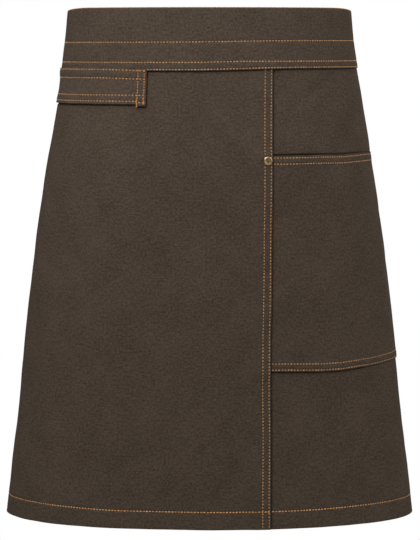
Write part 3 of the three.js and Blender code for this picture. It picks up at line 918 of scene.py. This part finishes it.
# The side panel is drawn in beside the lapped edge, under the band, and round the pocket
def sideDrawn(turn, arc, height):
    front, fromSeam = inFront(arc), arc - seamArc(height)
    beside = drawnIn(fromSeam, 1.7, 1.0)
    onPocket = smooth(2, -2, arc - pocketSpan(height)[1]) * smooth(-2, 0, fromSeam)
    toMouth = pocketTop + edgeLift(turn, height, 1) - height
    toFoot = height - pocketBottom - edgeLift(turn, height, 2)
    mouth = drawnIn(-toMouth, 1.6, 1.1) * onPocket * front
    foot = drawnIn(-toFoot) * onPocket * front
    under = wrapPress(arc) * smooth(-1.5, -0.2, toMouth) * smooth(-1.5, -0.2, toFoot)
    edges = np.maximum(underBand(turn, arc, height), beside)
    return np.maximum(edges, np.maximum(mouth, foot)) + under


# The side panel, from its edge under the lap round the right side to its back edge
def sidePanel():
    rows = panelRows([(bandBottom, -2.8, 3.4), (pocketTop, -2.2, 3.6), (pocketBottom, -3.6, 2.4)])[:, None]
    length = skirt["hemSweep"] / 2 - skirt["seamAcross"] + skirt["lap"]
    columns = gridLine(length, sewn=[length - panel["sideRow"]],
                       extra=[*(length - skirt["sideHem"] + closeLines["fold"]),
                              *(skirt["lap"] + closeLines["edge"])])[None, :]
    left = seamArc(rows, skirt["lap"])
    arc = panelArc(columns, length, left, backArc(rows))
    turn = turnAt(arc, rows)
    fromBack, fromLap = backArc(rows) - arc, arc - left
    second = foldedLayer(fromBack, rows)
    face = panelOuter - sideDrawn(turn, arc, rows)
    ripple = rippled(arc, rows - hemHeight, 18)
    made = panelSheet("side_panel_cloth", turn, arc, rows, fromBack, fromLap, second, face, 0, ripple, 0)
    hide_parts("side_panel")
    return made


# Pocket: its mouth stands off the panel near the lapped seam
pocket = {
    "width": 226,
    "tuck": 9,
    "gape": 3,
    "gapeAcross": 70,
    "gapeDown": 48,
    "mouthRows": (2.1, 8.6),
    "bottomRows": (1.7, 8.3),
    "sideRows": (1.9, 8.5),
}
pocketRows = list(zip(pocket["mouthRows"], pocket["bottomRows"], pocket["sideRows"]))

# across the front, then how much the pocket's mouth and its foot lie above their level
pocketLiftTable = np.array([
    (60, 0.0, 1.3),
    (76, 0.0, 1.2),
    (97, 0.1, 0.4),
    (118, 0.2, -0.4),
    (140, -0.3, -0.3),
    (161, 0.6, 1.5),
    (178, 0.8, 2.2),
    (190, 0.8, 3.4),
    (202, 0.8, 4.4),
])


# The lift from one column of that table
def edgeLift(turn, height, column):
    across = halfWidthAt(height) * np.sin(turn)
    return np.interp(across, pocketLiftTable[:, 0], pocketLiftTable[:, column])


# The lift goes from the foot's to the mouth's with height
def pocketLift(turn, height):
    share = smooth(pocketBottom + 14, pocketTop - 14, height)
    return mix(edgeLift(turn, height, 2), edgeLift(turn, height, 1), share)


# The mouth stands off by 27/4 a (1 - a)^2 of the gape across its share a, less further down
def gapeAt(turn, height):
    along = np.clip((acrossAt(turn, height) - skirt["seamAcross"]) / pocket["gapeAcross"], 0, 1)
    sideways = 27 / 4 * along * (1 - along) ** 2
    return pocket["gape"] * sideways * smooth(pocketTop - pocket["gapeDown"], pocketTop, height)


# The pocket's inner face: a step off the panel and the gape, drawn in at seam and side
def pocketIn(turn, arc, height):
    return panelInner + layerStep + gapeAt(turn, height) - drawnIn(arc - seamArc(height)) - wrapPress(arc)


# The outer face adds the wall and the turned hems, less the ripples
def pocketOut(turn, arc, height):
    toSide, toTop, toBottom = pocketSpan(height)[1] - arc, pocketTop - height, height - pocketBottom
    puff = np.maximum(turnedIn(toTop, 9.6), np.maximum(turnedIn(toBottom, 9.3), turnedIn(toSide, 9.3)))
    ripple = rippled(arc, toTop, 9) + rippled(arc, toBottom, 9) + rippled(height, toSide, 9)
    return pocketIn(turn, arc, height) + cloth["wall"] + puff - ripple


# Arcs of the pocket's edge under the lap and of its free side
def pocketSpan(height):
    seam = arcAt(turnAcross(skirt["seamAcross"], height), height)
    return seamArc(height, pocket["tuck"]), seam + pocket["width"]


# The pocket's sheet between those arcs, its rows lifted and its seams pressed in
def pocketPatch():
    total = pocketTop - pocketBottom
    rows = gridLine(total, sewn=[*pocket["bottomRows"], *(total - d for d in pocket["mouthRows"])])
    rows = (pocketBottom + rows)[:, None]
    length = pocket["width"] + pocket["tuck"] + 0.7
    columns = gridLine(length, sewn=[length - d for d in pocket["sideRows"]],
                       extra=pocket["tuck"] + closeLines["edge"])[None, :]
    left, right = pocketSpan(rows)
    arc = panelArc(columns, length, left, right)
    turn = turnAt(arc, rows)
    half = cloth["wall"] / 2
    toSide, toTop, toBottom = right - arc, pocketTop - rows, rows - pocketBottom
    fade = rounded(nearest(toSide, toTop, toBottom, arc - left), half)
    press = rowsPressed(toTop, arc, pocket["mouthRows"], "mouth")
    press = press + rowsPressed(toBottom, arc, pocket["bottomRows"], "foot")
    press = press + rowsPressed(toSide, rows, pocket["sideRows"], "side")
    height = rows + pocketLift(turn, rows)
    middle = pocketIn(turn, arc, rows) + half
    outer = onForm(turn, height, middle + (pocketOut(turn, arc, rows) - middle) * fade - press)
    inner = onForm(turn, height, middle - half * fade)
    made = sheetMesh("pocket_cloth", outer, inner, arc, rows, twillCloth)
    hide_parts("pocket")
    return made


# Towel loop: a folded strap, sewn down at both ends, its columns set out along its middle line
loop = {
    "wall": 1.4,
    "endAcross": 66.3,
    "length": 256,
    "bow": 15,
    "flat": 178,
    "farEnd": 8,
    "rows": (1.8, 10.7, 28.2, 34.7),
    "endRows": (2.4, 9.5),
    "blockWidth": 10,
    "blockDrop": 2.0,
    "blockRise": 0.9,
    "skew": 0.028,
    "tacks": (
        (1.6, 2.6, 7.4, 0.32),
        (9.7, -0.6, 8.4, 0.02),
        (2.4, 35.4, 36.8, 0.0),
    ),
}
loopMiddle = (loopTop + loopBottom) / 2
loopSewnEnd = float(arcAt(turnAcross(loop["endAcross"], loopMiddle), loopMiddle))


# 1 on the folded end, which is thicker and hangs a little lower than the strap
def onEnd(along):
    return smooth(loop["blockWidth"] + 1.6, loop["blockWidth"] + 0.2, along)


# How far a height on the strap is moved: the upper rows fall towards the sewn end
def loopLift(along, height):
    up = smooth(loopBottom + 8, loopTop - 8, height)
    upper = 1.2 * smooth(0, 58, along) - 0.5
    block = onEnd(along) * loop["blockDrop"] * smooth(loopBottom + 9, loopBottom, height)
    return mix(-0.1, upper, up) * smooth(170, 120, along) - block


# The height of the strap's lower edge
def loopFoot(along):
    return loopBottom + loopLift(along, np.full(np.shape(along), loopBottom))


# The strap's outer face: where it lies, its turned borders or thick end, less the ripples
def loopFace(along, height):
    down, up = loopTop - height, height - loopBottom
    border = np.maximum(turnedIn(down, 12), turnedIn(up, 11)) * 0.7
    block = loop["blockRise"] * onEnd(along)
    ripple = rippled(along, down, 10) + rippled(along, up, 9)
    return loopOut(along, height) + np.maximum(border, block) - ripple


# The strap lies on panel and band, and its slack stands off by the bow times a squared sine
def loopOut(along, height):
    span = loop["length"] - loop["farEnd"] - loop["flat"]
    slack = np.clip((along - loop["flat"]) / span, 0, 1)
    onPanel, onBand = panelInner + layerStep, bandOuter - 0.15
    lie = mix(onPanel, onBand, smooth(loopMiddle + 6, bandBottom - cloth["gap"], height))
    return lie + loop["bow"] * np.sin(math.pi * slack) ** 2 + loop["wall"]


# The sewn end is square, though the form widens downwards
def loopSkew(height):
    return loop["skew"] * (loopTop - height)


# The turn at a distance along the strap's middle line
def loopTurn(along, height=None):
    height = loopTop if height is None else height
    return -turnAt(loopSewnEnd + along - loopSkew(height), loopMiddle)


# The strap's sheet, its columns set out along the middle line and its rows across it
def towelLoop():
    width = loopTop - loopBottom
    rows = gridLine(width, sewn=[width - d for d in loop["rows"]], reach=0.7, cell=1.6)[:, None]
    edge = loop["length"] - loop["blockWidth"] - np.arange(-0.4, 2.4, 0.4)
    columns = gridLine(loop["length"], sewn=[loop["length"] - d for d in loop["endRows"]], reach=0.7,
                       cell=2.2, extra=edge)[None, :]
    along = loop["length"] - columns
    height = loopBottom + rows
    half = loop["wall"] / 2
    fade = rounded(nearest(rows, width - rows, columns, along), half)
    press = rowsPressed(width - rows, along, loop["rows"], "loop")
    press = press + rowsPressed(along, rows, loop["endRows"], "end")
    out = loopOut(along, height) - half
    turn = loopTurn(along, height)
    lifted = height + loopLift(along, height)
    outer = onForm(turn, lifted, out + (loopFace(along, height) - out) * fade - press)
    inner = onForm(turn, lifted, out - half * fade)
    made = sheetMesh("towel_loop_strap", outer, inner, -along, height, strapCloth)
    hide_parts("towel_loop")
    return made


# Ties: the straps, the knot's half sizes across, outwards and upwards, and the free ends
tieSizes = {
    "width": 30,
    "middle": 6,
    "tuck": 16,
    "neck": 18,
    "gather": 0.9,
    "knot": (14, 6, 15),
    "wrapSlant": 0.62,
    "wrapHalf": 7.2,
    "roundness": 3,
    "knotRings": 54,
    "knotTurns": 96,
    "endLength": 262,
    "endWidth": 28,
    "endTop": 12,
    "endSpread": 16,
    "rowIn": 3.0,
}
knotHalfX, knotHalfY, knotHalfZ = tieSizes["knot"]
knotOut = cloth["gap"] + knotHalfY


# A strap between faces half a wall from its middle, rounded at its edges and pressed in
def strapPiece(name, node, turn, height, out, edge, press, across, up):
    half = cloth["wall"] / 2
    fade = rounded(edge, half)
    outer = onForm(turn, height, out + half * fade - press)
    inner = onForm(turn, height, out - half * fade - press * 0.4)
    made = sheetMesh(name, outer, inner, across, up, strapCloth)
    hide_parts(node)
    return made


# A tie's middle face: it narrows into the knot, lifts off the band to it, and is gathered there
def tieFace(share, across, side):
    width = mix(tieSizes["width"], tieSizes["neck"], smooth(0.45, 1, share))
    height = tieSizes["middle"] + across * width / 2
    start = skirt["bandLength"] / 2 - tieSizes["tuck"]
    arc = mix(start, halfGirth(height) - knotHalfX - cloth["gap"], share)
    begin, end = skirt["bandLength"] / 2 + 1, halfGirth(height) - knotHalfX
    out = mix(panelInner, knotOut - cloth["wall"] / 2, smooth(mix(begin, end, 0.3), end, arc))
    pleat = tieSizes["gather"] * smooth(0.35, 1, share) * np.cos(across * 7.5 + 0.8 * side)
    return side * turnAt(arc, height), height, out + pleat + cloth["wall"] / 2, arc


# One tie, from under the band's end to the knot
def tie(name, node, side):
    length = halfGirth(tieSizes["middle"]) - knotHalfX - skirt["bandLength"] / 2 + tieSizes["tuck"]
    width, rowIn = tieSizes["width"], tieSizes["rowIn"]
    rows = gridLine(width, sewn=[rowIn, width - rowIn], cell=1.2)
    columns = gridLine(float(length), cell=2.0)
    if side < 0:
        columns = columns[::-1]
    share = (columns / length)[None, :]
    across = (rows / width * 2 - 1)[:, None]
    turn, height, out, arc = tieFace(share, across, side)
    endwise = np.minimum(columns, length - columns)[None, :]
    sideways = np.minimum(rows, width - rows)[:, None]
    edge, press = np.minimum(endwise, sideways), pressed(sideways - rowIn, arc) * 0.6
    return strapPiece(name, node, turn, height, out, edge, press, side * arc, height)


# A free end's middle face: it widens below the knot, comes in to the form and sways a little
def tieEndFace(down, across, side):
    share = down / tieSizes["endLength"]
    height = tieSizes["middle"] - knotHalfZ - cloth["gap"] - down
    width = mix(tieSizes["endTop"], tieSizes["endWidth"], smooth(0, 0.3, share))
    middle = width / 2 + cloth["gap"] + tieSizes["endSpread"] * smooth(0, 1, share)
    arc = halfGirth(height) - middle - across * width / 2
    out = mix(knotOut - cloth["wall"] / 2, cloth["gap"], smooth(0, 0.35, share))
    sway = 1.1 + np.sin(down / 27 + 1.3 * side) + 0.35 * across * np.sin(down / 41)
    sway = sway * smooth(0.1, 0.4, share)
    pleat = 0.7 * smooth(0.3, 0.0, share) * np.cos(across * 6 - side)
    return side * turnAt(arc, height), height, out + sway + pleat + cloth["wall"] / 2


# One free end, from under the knot down to its own hem
def tieEnd(name, node, side):
    length, width, rowIn = tieSizes["endLength"], tieSizes["endWidth"], tieSizes["rowIn"]
    rows = gridLine(length, sewn=[rowIn], cell=2.2)[:, None]
    columns = gridLine(width, sewn=[rowIn, width - rowIn], cell=1.3)[None, :]
    across = -side * (columns / width * 2 - 1)
    turn, height, out = tieEndFace(length - rows, across, side)
    sideways = np.minimum(columns, width - columns)
    edge = nearest(rows, length - rows, sideways)
    press = (pressed(sideways - rowIn, rows) + pressed(rows - rowIn, columns)) * 0.6
    return strapPiece(name, node, turn, height, out, edge, press, columns, height)


# Knot: a superellipsoid, a pleated turn of the strap lying across it at a slant
def knotWrap():
    power, rings, count = 2 / tieSizes["roundness"], tieSizes["knotRings"], tieSizes["knotTurns"]
    lifts = np.linspace(-math.pi / 2, math.pi / 2, rings + 2)[:, None]
    turns = np.linspace(0, 2 * math.pi, count, endpoint=False)[None, :]

    def bend(value):
        return np.sign(value) * np.abs(value) ** power

    x = knotHalfX * bend(np.cos(lifts)) * bend(np.cos(turns))
    y = knotHalfY * bend(np.cos(lifts)) * bend(np.sin(turns))
    z = knotHalfZ * bend(np.sin(lifts)) + 0 * turns
    c, q = math.cos(tieSizes["wrapSlant"]), math.sin(tieSizes["wrapSlant"])
    across, along = z * c + x * q, x * c - z * q
    over = smooth(tieSizes["wrapHalf"] + 0.7, tieSizes["wrapHalf"] - 0.5, np.abs(across))
    under = 0.5 * np.cos(along * 2 * math.pi / 5.2 + 0.6) * (1 - over)
    pleats = 0.3 * np.cos(across * 2 * math.pi / 4.3 + np.sin(along / 5)) * over
    deep = mix(0.70, 0.97, over) + (under + pleats) / knotHalfY
    points = np.stack([x * mix(0.86, 0.98, over), y * deep, z * mix(0.88, 0.98, over)], axis=-1)
    centre = onForm(math.pi, tieSizes["middle"], knotOut)
    poles = [points[0].mean(axis=0), points[-1].mean(axis=0)]
    points = np.concatenate([points[1:-1].reshape(-1, 3), poles])
    flat = np.stack([points[:, 0] + points[:, 1], points[:, 2]], axis=-1)
    made = newObject("knot_wrap", points + centre, ringFaces(rings, count), flat, strapCloth)
    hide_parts("tie_knot")
    return made


# Rivet: a turned head, its axis square to the cloth
rivetSizes = {
    "across": 60.8,
    "belowMouth": 5.4,
    "radius": 4.8,
    "height": 1.7,
    "burr": 4.2,
    "shank": 1.5,
    "turns": 56,
}


def rivetPiece():
    height = pocketTop - rivetSizes["belowMouth"]
    turn = turnAcross(rivetSizes["across"], height)
    seat = panelInner + 2 * layerStep + cloth["wall"] + cloth["gap"]
    back = panelInner - cloth["gap"]
    at = onForm(turn, height, 0)
    sideways = onForm(turn + 0.02, height, 0) - onForm(turn - 0.02, height, 0)
    upwards = onForm(turn, height + 4, 0) - onForm(turn, height - 4, 0)
    outwards = np.cross(sideways, upwards)
    sideways, outwards = sideways / np.linalg.norm(sideways), outwards / np.linalg.norm(outwards)
    third = np.cross(outwards, sideways)
    r, h, burr, shank = (rivetSizes[key] for key in ("radius", "height", "burr", "shank"))
    top = seat + h
    # radius and distance out, from the burr's back to the nipple in the head's middle
    profile = np.array([
        (burr - 0.3, back - 0.8),
        (burr, back - 0.5),
        (burr, back),
        (shank, back),
        (shank, seat),
        (r * 0.95, seat),
        (r, seat + h * 0.16),
        (r * 0.995, seat + h * 0.36),
        (r * 0.96, seat + h * 0.6),
        (r * 0.90, seat + h * 0.8),
        (r * 0.82, top - 0.1),
        (r * 0.75, top),
        (r * 0.68, top - 0.05),
        (r * 0.61, top - 0.2),
        (r * 0.54, top - 0.36),
        (r * 0.46, top - 0.42),
        (r * 0.34, top - 0.4),
        (r * 0.26, top - 0.28),
        (r * 0.17, top - 0.1),
        (r * 0.08, top - 0.05),
    ])
    count = rivetSizes["turns"]
    angle = np.arange(count) / count * 2 * math.pi
    radial = np.cos(angle)[:, None] * sideways + np.sin(angle)[:, None] * third
    body = at + profile[:, None, :1] * radial[None] + profile[:, None, 1:] * outwards
    poles = [at + outwards * profile[0, 1], at + outwards * (top - 0.06)]
    points = np.concatenate([body.reshape(-1, 3), poles])
    radii = np.concatenate([np.repeat(profile[:, 0], count), [0, 0]])
    flat = np.stack([radii, np.zeros(len(radii))], axis=-1)
    made = newObject("rivet_brass", points, ringFaces(len(profile), count), flat, brassFinish)
    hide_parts("rivet")
    return made


bandPiece = waistband()
mainPiece = mainPanel()
sidePiece = sidePanel()
pocketPiece = pocketPatch()
loopPiece = towelLoop()
tieLeft = tie("tie_left_strap", "tie_left", -1)
tieRight = tie("tie_right_strap", "tie_right", 1)
endLeft = tieEnd("tie_end_left_strap", "tie_end_left", -1)
endRight = tieEnd("tie_end_right_strap", "tie_end_right", 1)
knotPiece = knotWrap()
rivetPiece()
layers = (bandPiece, mainPiece, sidePiece, pocketPiece, loopPiece)
straps = (tieLeft, tieRight, endLeft, endRight, knotPiece)
for made in layers + straps:
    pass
say("cloth pieces made")


# Rows of stitches, on the faces of the same pieces
# Even places from start to end, about a step apart
def arcRun(start, end, step=1.5):
    return np.linspace(start, end, max(8, int(abs(end - start) / step)))


# Three rows on both faces of the band, and two along its fold
def bandStitches():
    sewn = Sewing()
    half = skirt["bandLength"] / 2 - 1.5
    arc = arcRun(-half, half)
    turn = turnAt(arc, bandBottom)
    for up in band["rowsUp"]:
        level = bandBottom + up + 0 * turn
        out = bandFace(turn, arc, level) - bandPress(arc, level)
        sewn.row(turn, level + bandTilt(turn, level), out)
        sewn.row(turn, level, bandPress(arc, level) * 0.5, side=-1)
    top = bandFoldLevel(turn)
    for lean in (0.85, math.pi - 0.5):
        up, out = math.sin(lean), math.cos(lean)
        points = onForm(turn, top + foldRadius * up, foldRadius + foldRadius * out)
        off = onForm(turn, top + (foldRadius + 1) * up, foldRadius + (foldRadius + 1) * out)
        sewn.free(points, off - points)
    return sewn.build("band_stitches", threadPlain)


# Twin rows beside the lapped edge
def seamStitches():
    sewn = Sewing()
    height = arcRun(bandBottom + 1.8, hemHeight + 1.5)
    right = seamArc(height)
    for i, row in enumerate(panel["seamRows"]):
        turn = turnAt(right - row, height)
        press = pressed(0, height + puffShift["seam"] * i)
        sewn.row(turn, height, mainFace(turn, height, row) - press, width=0.92)
        sewn.row(turn, height, panelInner - 0.1, side=-1)
    return sewn.build("seam_stitches", threadPlain)


# One row above the hem, and one up each back edge
def hemStitches():
    sewn = Sewing()
    level = hemHeight + panel["hemRow"]
    right = float(seamArc(level))
    back = float(backArc(level))
    for start, end, onMain in ((-back + 1.5, right - 0.6, True), (right + 1.2, back - 1.5, False)):
        arc = arcRun(start, end)
        turn = turnAt(arc, level)
        up = hemRow(turn)
        face = mainFace(turn, level, right - arc) if onMain else panelOuter - rippled(arc, up, 18)
        sewn.row(turn, hemHeight + up, face - pressed(0, arc), length=2.75)
        inside = arc <= (right - skirt["lap"] - skirt["climb"] - 3 if onMain else end)
        sewn.row(turn[inside], level - 1.2, panelInner - cloth["wall"] - 0.05, side=-1)
    for side in (-1, 1):
        height = arcRun(bandBottom + 1.8, hemHeight + 1.5)
        turn = side * turnAt(backArc(height) - panel["sideRow"], height)
        sewn.row(turn, height, panelOuter - pressed(0, height))
        sewn.row(turn, height, panelInner - cloth["wall"] - 0.05, side=-1)
    return sewn.build("hem_stitches", threadHem)


# Twin rows along the pocket's mouth, foot and free side
def pocketStitches():
    sewn = Sewing()
    for i, (mouth, low, side) in enumerate(pocketRows):
        shifts = puffShift["mouth"] * i, puffShift["foot"] * i
        for level, along in zip((pocketTop - mouth, pocketBottom + low), shifts):
            right = float(seamArc(level))
            reach = pocketSpan(level)[1] - right - (side if level < pocketTop - 100 else 1.2)
            arc = arcRun(right + 0.9, right + reach)
            turn = turnAt(arc, level)
            out = pocketOut(turn, arc, level) - pressed(0, arc + along)
            sewn.row(turn, level + pocketLift(turn, level), out)
        height = arcRun(pocketTop - 1.2, pocketBottom + low)
        arc = pocketSpan(height)[1] - side
        turn = turnAt(arc, height)
        out = pocketOut(turn, arc, height) - pressed(0, height + puffShift["side"] * i)
        sewn.row(turn, height + pocketLift(turn, height), out)
    return sewn.build("pocket_stitches", threadPlain)


# Four rows along the towel loop
def loopStitches():
    sewn = Sewing()
    along = arcRun(1.0, loop["length"] - 1.0)
    for i, down in enumerate(loop["rows"]):
        level = loopTop - down
        out = loopFace(along, level) - pressed(0, along + puffShift["loop"] * i)
        sewn.row(loopTurn(along, level), level + loopLift(along, level), out, pitch=4.1, length=2.7)
    return sewn.build("loop_stitches", threadPlain)


# The folded end's rows, with bar tacks of close short stitches at its lower and upper corners
def endStitches():
    sewn = Sewing()
    for i, inwards in enumerate(loop["endRows"]):
        height = arcRun(loopTop - 0.6, loopBottom + 1.2, 0.5)
        reach = np.full(len(height), inwards)
        out = loopFace(reach, height) - pressed(0, height - loopBottom + puffShift["end"] * i)
        sewn.row(loopTurn(reach, height), height + loopLift(reach, height), out, pitch=2.9, length=2.1)
    for inwards, low, high, slant in loop["tacks"]:
        for up in np.arange(low, high, 0.62):
            across = inwards + slant * (up - low) + np.linspace(-0.6, 0.6, 8) + rng.normal(0, 0.16)
            height = np.full(8, loopBottom + up)
            out = loopFace(across, height) - 0.12
            lifted = height + loopLift(across, height) + np.linspace(-0.12, 0.12, 8)
            sewn.row(loopTurn(across, height), lifted, out, length=1.35, width=0.7)
    return sewn.build("end_stitches", threadBright)


# Rows along both edges of ties and free ends, and across the foot of each end
def tieStitches():
    sewn = Sewing()
    edge = 1 - 2 * tieSizes["rowIn"] / tieSizes["width"]
    share = np.linspace(0.16, 0.99, 60)
    endEdge = 1 - 2 * tieSizes["rowIn"] / tieSizes["endWidth"]
    down = arcRun(1.0, tieSizes["endLength"] - tieSizes["rowIn"])
    for side in (-1, 1):
        for across in (-edge, edge):
            turn, height, out = tieFace(share, np.full(len(share), across), side)[:3]
            sewn.row(turn, height, out + cloth["wall"] / 2 - 0.15)
        for across in (-endEdge, endEdge):
            turn, height, out = tieEndFace(down, np.full(len(down), across), side)
            sewn.row(turn, height, out + cloth["wall"] / 2 - 0.15)
        across = np.linspace(-endEdge, endEdge, 20)
        turn, height, out = tieEndFace(np.full(20, down[-1]), across, side)
        sewn.row(turn, height, out + cloth["wall"] / 2 - 0.15)
    return sewn.build("tie_stitches", threadPlain)


bandThread = bandStitches()
seamThread = seamStitches()
hemThread = hemStitches()
pocketThread = pocketStitches()
loopThread = loopStitches()
endThread = endStitches()
tieStitches()

say("stitches made")

# Floor, light and camera
studio = {
    "floorDrop": 1.05,
    "floorRadius": 2.4,
    "ambient": 0.33,
    "keyPower": 30,
    "keySize": 1.3,
    "keyPlace": (-0.45, -0.75, 1.25),
    "fillPower": 13,
    "fillSize": 1.3,
    "fillPlace": (1.8, -0.3, 0.8),
    "rearPower": 20,
    "rearSize": 1.3,
    "rearPlace": (0.8, 1.9, 1.2),
    "cameraPlace": (0.0006, -3.2, -0.003),
    "tilt": 4.4954,
    "lens": 2900 / 540 * 36,
}


# A flat round floor below the apron
def floorPiece():
    angle = np.linspace(0, 2 * math.pi, 96, endpoint=False)
    reach, drop = studio["floorRadius"], studio["floorDrop"]
    corners = np.stack([reach * np.cos(angle), reach * np.sin(angle), 0 * angle - drop], axis=-1)
    mesh = bpy.data.meshes.new("floor")
    mesh.from_pydata(corners.tolist(), [], [list(range(len(angle)))])
    made = bpy.data.objects.new("floor", mesh)
    bpy.context.scene.collection.objects.link(made)
    s = Shading(bpy.data.materials.new("pale_floor"))
    s.surface(Base_Color=(0.6, 0.6, 0.59, 1), Roughness=0.9)
    mesh.materials.append(s.owner)


# A square lamp that is aimed at the apron's middle
def softLamp(name):
    data = bpy.data.lights.new(name, "AREA")
    data.energy = studio[name + "Power"]
    data.size = studio[name + "Size"]
    lamp = bpy.data.objects.new(name, data)
    bpy.context.scene.collection.objects.link(lamp)
    place = np.array(studio[name + "Place"])
    lamp.location = place
    aim = np.array([0, 0, -0.05]) - place
    lamp.rotation_euler = (math.atan2(math.hypot(aim[0], aim[1]), -aim[2]), 0, math.atan2(-aim[0], aim[1]))


# White behind the object, with softer light from all round it
def studioLight():
    world = bpy.data.worlds.new("studio")
    bpy.context.scene.world = world
    s = Shading(world, "Background")
    seen = s.node("ShaderNodeLightPath", {}, {}, "Is Camera Ray")
    s.surface(Color=(1, 1, 1, 1), Strength=s.remap(seen, 0.0, 1.0, studio["ambient"], 1.0))
    softLamp("key")
    softLamp("fill")
    softLamp("rear")


# The camera stands in front, tilted down a little
def cameraPiece():
    data = bpy.data.cameras.new("camera")
    data.sensor_fit = "AUTO"
    data.sensor_width = 36
    data.lens = studio["lens"]
    data.clip_start, data.clip_end = 0.05, 60
    made = bpy.data.objects.new("camera", data)
    bpy.context.scene.collection.objects.link(made)
    made.location = studio["cameraPlace"]
    made.rotation_euler = (math.radians(90 - studio["tilt"]), 0, 0)
    bpy.context.scene.camera = made


floorPiece()
studioLight()
cameraPiece()
scene = bpy.context.scene
scene.view_settings.view_transform = "Standard"
scene.view_settings.look = "None"

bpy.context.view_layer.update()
say("done")
